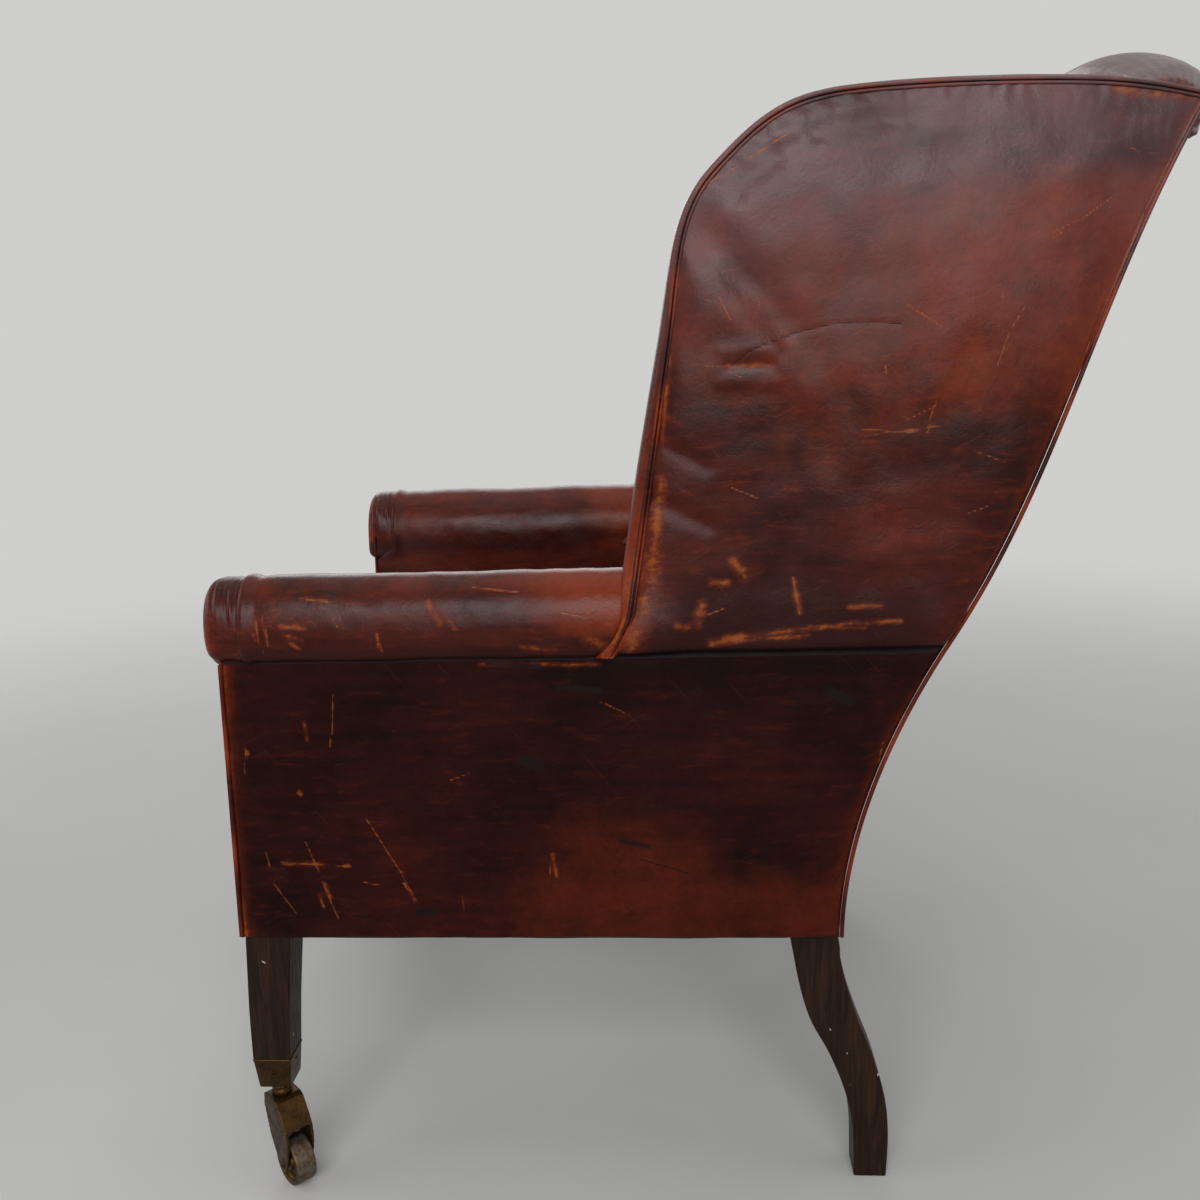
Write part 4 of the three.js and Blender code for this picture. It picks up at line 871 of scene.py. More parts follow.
class CHAIR_OT_outside_arms(bpy.types.Operator):
    """Outside leather of the arms: a taut panel, turned in at the crease and under the base."""

    bl_idname = "chair.outside_arms"
    bl_label = "Outside arms"

    def execute(self, context):
        s = sizes()
        for name, side in SIDES.items():
            seen = side > 0
            step = s.grid if seen else 2 * s.grid
            u = np.linspace(0, 1, int(0.64 / step))[None, :]
            v = np.linspace(0, 1, int(0.29 / step))[:, None]
            top = s.crease_z + 0.010
            z = s.base_z + 0.0008 + (top - s.base_z - 0.0008) * v + 0 * u
            # A flat panel between the leaning front and the back line, eased up from its edges, with a quarter
            # circle under the base, a shoulder back to the hidden plane above the crease, and rounded edges.
            first, last = 0.0046 + lean(z), back_run(z) - 0.0035
            run = first + (last - first) * u
            edge = np.minimum(run - first, last - run)
            x = s.side_face + 0.0012 * (1 - np.exp(-edge / 0.02)) + 0.0006 * waves(run, z, 0.13, 4)
            x = x + 0.0003 * waves(run, z, 0.03, 6)
            x -= 0.0035 * (1 - np.sqrt(1 - np.clip(1 - (z - s.base_z) / 0.0035, 0, 1) ** 2))
            shoulder = np.sqrt(1 - np.clip((z - s.crease_z + 0.001) / 0.003, 0, 1) ** 2)
            x = HIDDEN_X + 0.0001 + (x - HIDDEN_X - 0.0001) * shoulder
            x -= 0.0015 * (1 - np.sqrt(1 - np.clip(1 - edge / 0.0015, 0, 1) ** 2))
            flat = np.stack([run + 0 * z, z + 0 * run], -1).reshape(-1, 2)
            glow = near(flat, ARM_GLOWS if seen else ARM_GLOWS[:1])
            glow = glow + 1.1 * fold(flat, [(6, 566, 6, 530)], 0.020)
            glow = glow.reshape(x.shape) + 1.1 * np.exp(-edge / 0.010) + 0.5 * np.exp(-(z - s.base_z) / 0.02)
            # Painted shade: darker towards the top, under the roll.
            glow = glow - 0.5 * smooth(0.50, 0.56, z)
            worn = np.exp(-edge / 0.0045) * (0.30 + 0.40 * waves(run, z, 0.10, 22))
            scuff = np.maximum(near(flat, ARM_SCUFFS if seen else ARM_SCUFFS[5:9]), worn.ravel())
            wear_and_shade = {
                "scratch": near(flat, ARM_SCRATCHES if seen else ARM_SCRATCHES[5::2]),
                "scuff": scuff,
                "warmth_and_shade": 0.75 * glow,
                # Real stains, and painted shade near black in the crease under the roll.
                "stain_and_shade": np.maximum(near(flat, ARM_STAINS if seen else ARM_STAINS[5:7]),
                                    0.9 * smooth(s.crease_z - 0.004, s.crease_z, z).ravel()),
            }
            piece = add("outside_arm_cover_" + name, lidded(placed(x, run, z), HIDDEN_X), FINISHES["side"],
                        replaces=["outside_arm_" + name], side=side, wear_and_shade=wear_and_shade)
        return {"FINISHED"}


class CHAIR_OT_arms(bpy.types.Operator):
    """Arms: the scroll carried back from a domed, pleated nose until it dives into the wing, with the inner face
    down to the deck, and the flat facing under the nose."""

    bl_idname = "chair.arms"
    bl_label = "Arms"

    def execute(self, context):
        s = sizes()
        deck_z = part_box("arm_roll_left")[0].z
        section = scroll(94)
        section[0, 0] -= 0.004
        low = respaced(np.array([[s.arm_inner, section[-1, 1]], [s.arm_inner, deck_z], [0.3035, deck_z],
                                 [0.3035, s.crease_z], [section[0, 0], section[0, 1]]]), 60)[1:-1]
        section = np.concatenate([section, low])
        centre = np.array([s.half_width - 0.039, 0.604])
        edge_z, edge_run = wing_edge(0.0, 200)[:, ::-1].T
        for name, side in SIDES.items():
            seen = side > 0
            along = np.linspace(0.010, 0.585, 190 if seen else 100)[1:]
            distance = np.concatenate([np.linspace(0, 0.010, 9), along])[:, None]
            # The section carried along: its roll starts 32 mm back with a low ridge, the rest leans from the
            # front, and past the wing's edge it sinks to the wing's faces.
            px, pz = section[None, :, 0], section[None, :, 1]
            roll = smooth(0.556, 0.566, pz)
            near_front = 0.0048 + lean(pz) + (0.0472 - lean(pz)) * distance / 0.02
            lower = np.where(distance < 0.02, near_front, 0.032 + distance)
            run = roll * (0.032 + distance) + (1 - roll) * lower
            outward = np.stack([px - centre[0], pz - centre[1]], -1)
            outward /= np.linalg.norm(outward, axis=-1)[..., None] + 1e-9
            ridge = 0.0020 * np.exp(-(((distance - 0.0085) / 0.0050) ** 2))
            ridge = ridge - 0.0010 * np.exp(-(((distance - 0.020) / 0.007) ** 2))
            ridge = ridge - 0.0055 * (1 - np.sqrt(1 - np.clip(1 - distance / 0.0055, 0, 1) ** 2))
            upper = smooth(0.585, 0.615, pz)
            soft = 0.0010 * waves(run, pz, 0.10, 41 if seen else 47) + 0.0003 * waves(run, pz, 0.025, 43)
            rise = roll * (ridge + soft * smooth(0.0, 0.05, distance))
            x = px + rise * outward[..., 0]
            z = pz + rise * outward[..., 1]
            dive = smooth(0.003, 0.020, run - np.interp(z, edge_z, edge_run)) * roll
            x = x - dive * (np.maximum(x - 0.331, 0) - np.maximum(0.266 - x, 0))
            z = z - dive * np.maximum(z - 0.600, 0)
            run = np.minimum(run, back_run(z) - 0.0525)
            outside = np.stack([run, z], -1).reshape(-1, 2)
            shown = (x > centre[0] - 0.01).ravel()
            bands = 0.30 + 0.35 * waves(run, z * 3, 0.12, 51)
            # Painted shade: near black at the tuck where the roll meets the outside arm.
            tuck = np.exp(-np.maximum(z - s.crease_z, 0) / 0.005) * (x > 0.32)
            wear_and_shade = {
                "scratch": near(outside, ROLL_SCRATCHES if seen else ROLL_SCRATCHES[4:]) * shown,
                "scuff": np.maximum(near(outside, ROLL_SCUFFS if seen else ROLL_SCUFFS[5:]) * shown,
                    (bands * upper * 0.5).ravel()),
                "stain_and_shade": np.maximum(near(outside, ROLL_STAINS) * shown, (0.9 * tuck).ravel()),
                # Warmer on the top, and darker on the roll's underside as painted shade.
                "warmth_and_shade": (0.8 * smooth(0.27, 0.38, run) + 0.35 * smooth(0.62, 0.64, z)
                    - 0.7 * smooth(0.60, 0.575, z)) * roll,
            }
            piece = add("arm_cover_" + name, skin(placed(x, run, z)), FINISHES["wing"],
                        replaces=["arm_roll_" + name], side=side, wear_and_shade=wear_and_shade)
            self.nose(name, side)
            self.facing(name, side)
        return {"FINISHED"}

    def nose(self, name, side):
        """The stuffed end of the roll: the scroll's section shrinking over a rounded edge to a domed face, with
        short folds gathered into its upper half."""
        s = sizes()
        under = [[s.arm_inner, 0.5555], [0.290, 0.5545], [0.325, 0.5600], [0.3355, 0.5655]]
        path = np.concatenate([scroll(140), under])
        path = respaced(np.concatenate([path, path[:1]]), 151)[:-1]
        path = sum(np.roll(path, k, 0) for k in (-2, -1, 0, 1, 2)) / 5
        middle = np.array([0.305, 0.605])
        arm = path - middle
        reach = np.linalg.norm(arm, axis=1)
        tip, edge = -0.0045, 0.0145
        face = np.linspace(0.03, 0.97, 16)
        turn = np.linspace(0, np.pi / 2, 18)
        body = np.linspace(0.0135, 0.046, 26)[1:]
        inset = np.concatenate([np.full(16, edge), edge * (1 - np.sin(turn)),
            0.005 * smooth(0.036, 0.046, body)]) + 0.0008
        run = np.concatenate([tip + 0.003 * face**2, tip + 0.003 + edge * (1 - np.cos(turn)), body])[:, None]
        scale = (1 - inset[:, None] / reach) * np.concatenate([face, np.ones(18 + 25)])[:, None]
        upper = smooth(0.598, 0.625, path[:, 1])[None, :]
        folds = sum(
            high * np.exp(-(((run + 0.10 * (path[:, 1] - 0.62) - at) / 0.0026) ** 2))
            for at, high in ((0.008, 0.8), (0.0160, 1.3), (0.0215, 0.8), (0.0290, 1.2))
        )
        folds = 0.0016 * folds * upper * (0.8 + 0.5 * waves(path[:, 0][None] + 0 * run, path[:, 1][None], 0.03, 35))
        uneven = 0.0007 * waves(path[:, 1][None] + 0 * run, run * 2, 0.05, 36)
        rise = folds + uneven * smooth(0.02, 0.03, reach * scale)
        x = middle[0] + arm[:, 0] * (scale + rise / reach)
        z = middle[1] + arm[:, 1] * (scale + rise / reach)
        outside = np.stack([run + 0 * x, z], -1).reshape(-1, 2)
        patch = near(outside, [(14, 612, 20, 598), (6, 600, 8, 585)], 0.014).reshape(x.shape)
        tuck = smooth(0.570, 0.562, z) * smooth(0.010, 0.018, run)
        wear_and_shade = {
            "scuff": (0.30 + 0.35 * waves(x, z, 0.05, 37)) * np.exp(-(((run - 0.001) / 0.008) ** 2)) + 0.5 * patch,
            # Warmer at the front; darker on the underside as painted shade.
            "warmth_and_shade": 0.5 * np.exp(-(((run - 0.002) / 0.010) ** 2)) + 0.3 * smooth(0.61, 0.59, z)
                      - 0.8 * smooth(0.585, 0.570, z),
            # Painted shade near black where the nose sinks into the roll and at its bottom tuck.
            "stain_and_shade": 0.9 * smooth(0.0335, 0.036, run) + 0.8 * tuck + 0 * x,
        }
        piece = add("arm_nose_" + name, skin(placed(x, run, z)), FINISHES["wing"], side=side,
            wear_and_shade=wear_and_shade)

    def facing(self, name, side):
        """The flat front under the nose, a little domed."""
        s = sizes()
        u = np.linspace(0, 1, 32)[None, :]
        v = np.linspace(0, 1, 96)[:, None]
        x = s.arm_inner + 0.0004 + (s.side_face - s.arm_inner - 0.0012) * u + 0 * v
        z = s.base_z + 0.0006 + (s.crease_z - s.base_z) * v + 0 * u
        edge = np.minimum(np.minimum(u, 1 - u) * 0.079, (z - s.base_z))
        dome = 0.0010 + 0.0045 * (1 - np.exp(-edge / 0.009)) + 0.0005 * waves(x, z, 0.06, 61)
        front = placed(x, lean(z) + 0.0022 - dome, z)
        wear_and_shade = {"scuff": np.exp(-edge / 0.005) * (0.35 + 0.4 * waves(x, z, 0.07, 62)),
            "warmth_and_shade": 0.5 * np.exp(-edge / 0.012)}
        piece = add("arm_facing_cover_" + name, slab(front, placed(x, lean(z) + 0.0042, z)), FINISHES["wing"],
                    replaces=["arm_facing_" + name], side=side, wear_and_shade=wear_and_shade)


class CHAIR_OT_inside_wings(bpy.types.Operator):
    """Inside of the wings: a stuffed pad, and the boxed border that turns over the wing's edge."""

    bl_idname = "chair.inside_wings"
    bl_label = "Inside wings"

    def execute(self, context):
        s = sizes()
        for name, side in SIDES.items():
            patch, outline = wing_patch(np.full(300, 0.0085), 0.056, 0.006)
            run, z = patch[..., 0], patch[..., 1]
            flat = patch.reshape(-1, 2)
            d = outline_distance(flat, outline).reshape(run.shape)
            free = smooth(0.0, 0.035, back_run(z) - 0.100 - run)
            inner = s.arm_inner - 0.0065 * (1 - np.exp(-d / 0.022)) * free + 0.006 * np.exp(-d / 0.007)
            inner = inner - 0.0008 * waves(run, z, 0.09, 71) * free
            limit = np.minimum(run, back_run(z) - 0.056)
            shape = slab(placed(inner, limit, z), placed(0.3115, limit, z))
            wear_and_shade = {"scuff": 0.35 * (np.exp(-d / 0.012) * (0.6 + 0.6 * waves(run, z, 0.08, 72))).ravel()}
            piece = add("inside_wing_pad_" + name, shape, FINISHES["wing"], replaces=["inside_wing_" + name],
                        side=side, wear_and_shade=wear_and_shade)
            free = (np.clip(1 - np.exp(-np.minimum(d, 9) / 0.01), 0, 1) * free).ravel()
            swelled(piece, np.concatenate([free, np.zeros(len(free))]), 1.5, 0.005)
            self.border(name, side)
        return {"FINISHED"}

    def border(self, name, side):
        """The boxing carried along the wing's edge: an arch from the outer seam over the edge to the inner seam."""
        s = sizes()
        count = 340
        seam = seam_inset(count)[:, None]
        edge = wing_edge(0.0, count)
        d = np.gradient(edge, axis=0)
        d /= np.linalg.norm(d, axis=1)[:, None]
        profile = spline([
            (0.3378, 1.0), (0.3376, 0.70), (0.3350, 0.30), (0.3290, 0.04), (0.3150, -0.04), (0.290, -0.05),
            (0.270, 0.0), (0.2590, 0.25), (0.2550, 0.65), (0.2560, 1.0), (0.2700, 1.35), (0.3250, 1.35),
            (0.3378, 1.0),
        ], 41)[:-1]
        x = profile[None, :, 0] + 0.0115 * flare(edge[:, 1])[:, None] * smooth(0.315, 0.334, profile[None, :, 0])
        inset = np.maximum(seam, 0.0105) * profile[None, :, 1]
        inset = np.where(profile[None, :, 0] > 0.30, seam * profile[None, :, 1], inset)
        run = edge[:, :1] + d[:, 1:] * inset
        z = edge[:, 1:] - d[:, :1] * inset
        bulge = wing_foot(z - 0.035) * smooth(0.325, 0.300, x)
        run = run - 0.008 * bulge
        x = x + 0.0004 * waves(run * 2, z * 2, 0.07, 81)
        rings = placed(x, run, np.maximum(z, s.crease_z + 0.0008))
        height = edge[:, 1:] + 0 * x
        low = smooth(0.80, 0.60, height)
        wear_and_shade = {
            "scuff": (0.16 + 0.42 * low + 0.30 * waves(run, z, 0.05, 82)) * smooth(0.31, 0.33, x),
            "warmth_and_shade": (0.45 + 0.5 * low) * smooth(0.30, 0.33, x),
            # Painted shade near black along the band's lip under the outer welt.
            "stain_and_shade": 0.8 * smooth(0.3372, 0.3378, profile[None, :, 0]) + 0 * x,
        }
        piece = add("wing_border_band_" + name, skin(rings), FINISHES["wing"], replaces=["wing_border_" + name],
                    side=side, wear_and_shade=wear_and_shade)


class CHAIR_OT_back(bpy.types.Operator):
    """The back: a stuffed inside, a rolled head gathered into its ends, and a taut outside."""

    bl_idname = "chair.back"
    bl_label = "Back"

    def execute(self, context):
        self.inside()
        self.head()
        self.outside()
        return {"FINISHED"}

    def inside(self):
        """Inside back: the back line less its stuffing, crowned across and swelled low down."""
        u = np.linspace(-1, 1, 86)[None, :]
        low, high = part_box("inside_back")[0].z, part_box("inside_back")[1].z
        z = low + (high - low) * np.linspace(0, 1, 112)[:, None] + 0 * u
        rear = back_run(z) - 0.0525
        thick = 0.055 - 0.041 * smooth(0.85, 1.042, z)
        crown = (1 - np.abs(u) ** 5) * (0.006 + 0.008 * np.exp(-(((z - 0.60) / 0.12) ** 2)))
        edge = 0.012 * np.exp(-(1 - np.abs(u)) * 0.2567 / 0.010)
        run = rear - thick - crown + edge
        x = 0.2564 * u + 0 * z
        wear_and_shade = {"scuff": (0.30 * smooth(0.55, 1, waves(x, z, 0.13, 91))
            + 0.25 * np.exp(-(1 - np.abs(u)) * 0.2567 / 0.01) + 0 * z).ravel()}
        piece = add("inside_back_cover", slab(placed(x, run, z), placed(x, rear, z)), FINISHES["wing"],
                    replaces=["inside_back"], wear_and_shade=wear_and_shade)
        free = (1 - np.abs(u) ** 12) * smooth(low, low + 0.03, z) * smooth(high, high - 0.03, z)
        swelled(piece, np.concatenate([free.ravel(), np.zeros(free.size)]), 2.5, 0.009)

    def head(self):
        """Rolled head: an ellipse carried across on a low arch, smaller towards its ends, where folds of the
        gathered leather run out from the wing's corner."""
        s = sizes()
        end = s.half_width - 0.012
        t = np.linspace(-1, 1, 170)
        x = end * np.sin(t * np.pi / 2)[:, None]
        q = (x / end) ** 2
        depth, height = 0.074 - 0.044 * q, 0.045 - 0.020 * q
        cap = np.sqrt(1 - np.clip((np.abs(x) - end + 0.012) / 0.0125, 0, 1) ** 2)
        a = np.linspace(0, 2 * np.pi, 130, endpoint=False)[None, :]
        ends = q**1.6
        inner = smooth(0, 0.6, 1.1 - np.abs(np.sin(a / 2 + 0.9)))
        folds = 0.0020 * ends * np.sin(13 * a + 1.5 * np.sin(3 * a) + 18 * x) * inner
        folds = folds + 0.0006 * ends * np.sin(29 * a + 26 * x) + 0.0012 * waves(x, a * 0.05, 0.12, 95)
        run = 0.893 - 0.047 * q + (depth * cap + folds) * np.cos(a)
        z = s.crest_top - 0.0012 - 0.073 * q - height + (height * cap + folds) * np.sin(a)
        wear_and_shade = {"scuff": (0.32 * smooth(0.3, 0.9, waves(x, run, 0.09, 96))
            + 0.35 * ends * smooth(0.4, 1, np.sin(13 * a + 18 * x))).ravel()}
        piece = add("head_roll_cover", skin(placed(x + 0 * a, run, z)), FINISHES["wing"], replaces=["head_roll"],
                    wear_and_shade=wear_and_shade)

    def outside(self):
        """Outside back: a taut sheet on the back line, swelled 5 mm in the middle, up to the head's underside."""
        s = sizes()
        u = np.linspace(-1, 1, 90)[None, :]
        top = s.crest_top - 0.073 * (u * 0.334 / 0.338) ** 2 - 2 * (0.045 - 0.020 * u**2) + 0.006
        v = np.linspace(0, 1, 124)[:, None]
        z = s.base_z + 0.0006 + (top - s.base_z) * v
        x = 0.3355 * u + 0 * z
        edge = np.minimum((1 - np.abs(u)) * 0.3355, (z - s.base_z))
        swell = 0.0045 * (1 - np.exp(-edge / 0.03)) - 0.002 * np.exp(-edge / 0.002) + 0.0007 * waves(x, z, 0.14, 101)
        run = back_run(z) + swell - 0.0025
        wear_and_shade = {
            "scuff": (np.exp(-edge / 0.006) * (0.35 + 0.4 * waves(x, z, 0.09, 102))).ravel(),
            "scratch": near(np.stack([x, z], -1).reshape(-1, 2),
                            [(-120, 640, -60, 655), (40, 480, 110, 440), (150, 720, 170, 690),
                                (-200, 400, -190, 350), (10, 820, 60, 835)]),
        }
        piece = add("outside_back_cover", slab(placed(x, run, z), placed(x, back_run(z) - 0.0030, z)),
            FINISHES["side"],
                    replaces=["outside_back"], wear_and_shade=wear_and_shade)


class CHAIR_OT_seat(bpy.types.Operator):
    """The seat: the covered deck and its front border, and the loose cushion with its welts."""

    bl_idname = "chair.seat"
    bl_label = "Seat"

    def execute(self, context):
        lowest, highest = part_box("seat_deck")
        x = np.linspace(lowest.x, highest.x, 60)[None, :]
        v = np.linspace(0, 1, 60)[:, None]
        z = highest.z + 0 * x + 0 * v
        run = 0.0046 + lean(z) + (highest.y - FRONT_Y - 0.0046 - lean(z)) * v
        top = z - 0.0005 - 0.0006 * (1 - waves(x, run, 0.05, 110))
        deck = add("seat_deck_cover", slab(placed(x + 0 * v, run, top), placed(x + 0 * v, run, lowest.z + 0 * z)),
                   FINISHES["side"], replaces=["seat_deck"])
        lowest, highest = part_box("seat_front_border")
        u = np.linspace(-1, 1, 150)[None, :]
        z = lowest.z + 0.0006 + (highest.z + 0.001 - lowest.z) * np.linspace(0, 1, 44)[:, None] + 0 * u
        edge = np.minimum(z - lowest.z, highest.z + 0.0016 - z)
        dome = 0.0060 * (1 - np.exp(-edge / 0.018)) + 0.0007 * waves(u * 0.25, z, 0.07, 112)
        x = highest.x * u + 0 * z
        wear_and_shade = {"scuff": (np.exp(-edge / 0.008) * (0.40 + 0.4 * waves(x, z, 0.08, 113))).ravel()}
        border = add("seat_front_cover", slab(placed(x, lean(z) + 0.0022 - dome, z), placed(x, lean(z) + 0.0042, z)),
                     FINISHES["wing"], replaces=["seat_front_border"], wear_and_shade=wear_and_shade)
        self.cushion()
        return {"FINISHED"}

    def cushion(self):
        """Loose cushion: rings of a rounded square, shrinking towards the middle of the top and bottom, whose
        sides pull in between the corners; top and bottom swell between two welted seams."""
        lowest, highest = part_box("seat_cushion")
        cx, cy = 0.0, (lowest.y + highest.y) / 2
        half_x, half_y = (highest.x - lowest.x) / 2 - 0.003, (highest.y - lowest.y) / 2 - 0.003
        low, high = lowest.z + 0.004, highest.z - 0.012
        a = np.linspace(0, 2 * np.pi, 200, endpoint=False)[None, :]
        c, d = np.cos(a), np.sin(a)
        corner = (np.abs(c) ** 9 + np.abs(d) ** 9) ** (-1 / 9)
        pull = 1 - 0.012 * np.abs(np.cos(2 * a))
        flat_rows, side_rows = 26, 13
        lower_seam, upper_seam = flat_rows - 1, flat_rows + side_rows
        inner = np.linspace(0.02, 1, flat_rows)
        level = np.concatenate([inner, np.ones(side_rows), inner[::-1]])
        band = np.linspace(0, 1, side_rows + 2)
        rise = np.concatenate([np.zeros(flat_rows), band[1:-1], np.ones(flat_rows)])
        size = level[:, None]
        bow = 0.004 * np.sin(np.pi * rise)[:, None] / 0.25
        x = cx + half_x * c * corner * pull * size * (1 + bow)
        y = cy + half_y * d * corner * pull * size * (1 + bow)
        crown = (1 - size**3)
        rise = rise[:, None]
        z = low + (high - low) * rise + crown * np.where(rise > 0.5, 0.011, 0.0) + 0 * a
        z = z + 0.0008 * waves(x, y, 0.08, 121) * crown
        points = np.stack([x, y, z], -1)
        wear_and_shade = {"scuff": (0.5 * smooth(0.2, 0.9, waves(x, y, 0.12, 122)) * (rise > 0.5)
            + 0.55 * np.exp(-(1 - size) / 0.03)
                          * (0.6 + 0.5 * waves(x + y, z + x, 0.06, 123))).ravel()}
        cushion = add("seat_cushion_cover", skin(points), FINISHES["wing"], replaces=["seat_cushion"],
            wear_and_shade=wear_and_shade)
        row = np.arange(len(level))
        seam = np.minimum(np.abs(row - lower_seam), np.abs(row - upper_seam))[:, None] + 0 * a
        free = np.where(rise + 0 * a < 0.01, 0.0, smooth(0, 3, seam)).ravel()
        swelled(cushion, np.concatenate([free, [0.0, 1.0]]), 3.0, 0.012)
        for name, row in (("lower", lower_seam), ("upper", upper_seam)):
            path = points[row]
            out = path - [cx, cy, 0]
            out[:, 2] = 0
            out /= np.linalg.norm(out, axis=1)[:, None]
            rings = tube(path + out * 0.0012, 0.0028, closed=True, towards=(0, 0, 1))
            welt("cushion_welt_" + name, skin(rings, closed=True), 1.0)


def welt(name, shape, side, worn=0.22):
    """A piped seam in the wing's leather, rubbed along its length."""
    points = shape[0]
    rub = waves(points[:, 1] + points[:, 0], points[:, 2], 0.06, 131)
    wear_and_shade = {"scuff": worn + 0.40 * rub, "warmth_and_shade": 0.5 + 0.5 * rub}
    return add(name, shape, FINISHES["wing"], side=side, wear_and_shade=wear_and_shade)


class CHAIR_OT_welts(bpy.types.Operator):
    """Piped seams: two round each wing's outside, one round its inside, one down each back corner and down both
    edges of the arm facings."""

    bl_idname = "chair.welts"
    bl_label = "Welts"

    def execute(self, context):
        s = sizes()
        count = 340
        for name, side in SIDES.items():
            seam = seam_inset(count)
            for line, shift in (("outer", -0.0013), ("inner", 0.0021)):
                edge = wing_edge(seam + shift, count)
                x = 0.3384 + 0.0115 * flare(edge[:, 1])
                edge[:, 1] = np.maximum(edge[:, 1], s.crease_z + 0.002)
                rings = tube(placed(x, edge[:, 0], edge[:, 1]), s.welt, flat=0.9)
                welt(f"wing_welt_{line}_{name}", skin(rings), side)
            edge = wing_edge(0.0105, count)
            welt("wing_inside_welt_" + name, skin(tube(placed(0.2558, edge[:, 0], edge[:, 1]), s.welt)), side)
            z = np.linspace(s.base_z + 0.002, s.corner_z - 0.004, 360)
            welt("back_corner_welt_" + name, skin(tube(placed(0.3372, back_run(z) - 0.0008, z), 0.0021)), side)
            z = np.linspace(s.base_z + 0.002, s.crease_z - 0.003, 200)
            welt("arm_front_welt_" + name, skin(tube(placed(0.3353, 0.0018 + lean(z), z), 0.0023)), side, 0.30)
            z = np.linspace(s.base_z + 0.002, s.crease_z + 0.02, 200)
            welt("arm_inner_welt_" + name, skin(tube(placed(0.2585, 0.0025 + lean(z), z), 0.0020)), side)
        x = np.linspace(-0.2545, 0.2545, 200)
        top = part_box("seat_front_border")[1].z
        path = placed(x, 0.0012 + lean(top) + 0 * x, top + 0 * x)
        welt("seat_front_welt", skin(tube(path, 0.0022, towards=(0, 0, 1))), 1.0)
        return {"FINISHED"}


def rounded_square(half_x, half_y, corner, per_corner=6):
    """Points of a square with rounded corners, about its middle."""
    a = np.radians(np.concatenate([np.linspace(q, q + 90, per_corner) for q in (0, 90, 180, 270)]))
    turn = np.floor(np.arange(4 * per_corner) / per_corner)
    sx = np.where((turn == 0) | (turn == 3), 1, -1)
    sy = np.where(turn < 2, 1, -1)
    return np.stack([sx * (half_x - corner) + corner * np.cos(a), sy * (half_y - corner) + corner * np.sin(a)], -1)


class CHAIR_OT_legs(bpy.types.Operator):
    """Legs: square tapered front legs that shoulder into the cups, and sabre legs sawn as one with the posts."""

    bl_idname = "chair.legs"
    bl_label = "Legs"

    def execute(self, context):
        s = sizes()
        corner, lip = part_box("castor_cup_left")
        mid_x, mid_y = (corner.x + lip.x) / 2, (corner.y + lip.y) / 2
        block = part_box("front_leg_left")
        leg_x, leg_half = (block[0].x + block[1].x) / 2, (block[1].x - block[0].x) / 2
        leg_y = FRONT_Y + 0.0043 + leg_half
        levels = [
            (block[0].z, mid_x, mid_y, 0.0146), (lip.z + 0.0002, mid_x, mid_y, 0.0173),
            (lip.z + 0.0003, mid_x, mid_y, 0.0192), (lip.z + 0.0018, mid_x, mid_y, 0.0196),
            (0.200, mid_x + 0.0010, mid_y + 0.0035, 0.0209), (s.base_z - 0.001, leg_x, leg_y, leg_half),
            (s.base_z + 0.05, leg_x, leg_y + lean(s.base_z + 0.05), leg_half),
            (block[1].z, leg_x, leg_y + lean(block[1].z), leg_half),
        ]
        table = np.array(levels)
        spans = [np.linspace(a, b, 14, endpoint=False) for a, b in zip(table[:-1, 0], table[1:, 0])]
        z = np.concatenate(spans + [table[-1:, 0]])
        x, y, half = (np.interp(z, table[:, 0], table[:, k]) for k in (1, 2, 3))
        unit = rounded_square(1.0, 1.0, 0.09)
        rings = np.stack([
            x[:, None] + half[:, None] * unit[None, :, 0], y[:, None] + half[:, None] * unit[None, :, 1],
            z[:, None] + 0 * unit[None, :, 0],
        ], -1)
        for name, side in SIDES.items():
            add("front_leg_wood_" + name, skin(rings), FINISHES["oak"], replaces=["front_leg_" + name],
                side=side)
            add("rear_post_wood_" + name, self.post(), FINISHES["oak"], replaces=["rear_post_" + name],
                side=side)
        return {"FINISHED"}

    def post(self):
        """Sabre leg and post: rings of a rounded oblong between a front and a rear edge line."""
        s = sizes()
        foot = s.base_depth + 0.0505
        low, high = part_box("rear_post_left")
        front = spline([(0, 0), (0.03, 0.2), (0.16, 0.35), (0.41, 0.5), (0.7, 0.63), (0.875, 0.77),
            (0.99, 0.92)], 200)
        rear = spline([(0, 0), (-0.03, 0.16), (0.04, 0.31), (0.27, 0.47), (0.58, 0.62), (0.83, 0.76),
            (0.98, 0.88)], 200)
        z = np.concatenate([[0.0, 0.0006], np.linspace(0.0015, high.z, 240)])
        under = s.base_z
        ahead = np.interp(z / under, front[:, 1], foot - 0.033 - 0.064 * front[:, 0])
        behind = np.interp(z / under, rear[:, 1], foot - 0.050 * rear[:, 0])
        above = smooth(0.90 * under, under + 0.004, z)
        ahead = ahead * (1 - above) + (back_run(z) - 0.0503) * above
        behind = behind * (1 - above) + (back_run(z) - 0.0034) * above
        ease = np.where(z < 0.0006, 0.0012, 0.0)
        unit = rounded_square(1.0, 1.0, 0.13)
        half_y = (behind - ahead) / 2 - ease
        half_x = (high.x - low.x) / 2 - ease
        rings = np.stack([
            (low.x + high.x) / 2 + half_x[:, None] * unit[None, :, 0],
            ((ahead + behind) / 2)[:, None] + FRONT_Y + half_y[:, None] * unit[None, :, 1],
            z[:, None] + 0 * unit[None, :, 0],
        ], -1)
        return skin(rings)


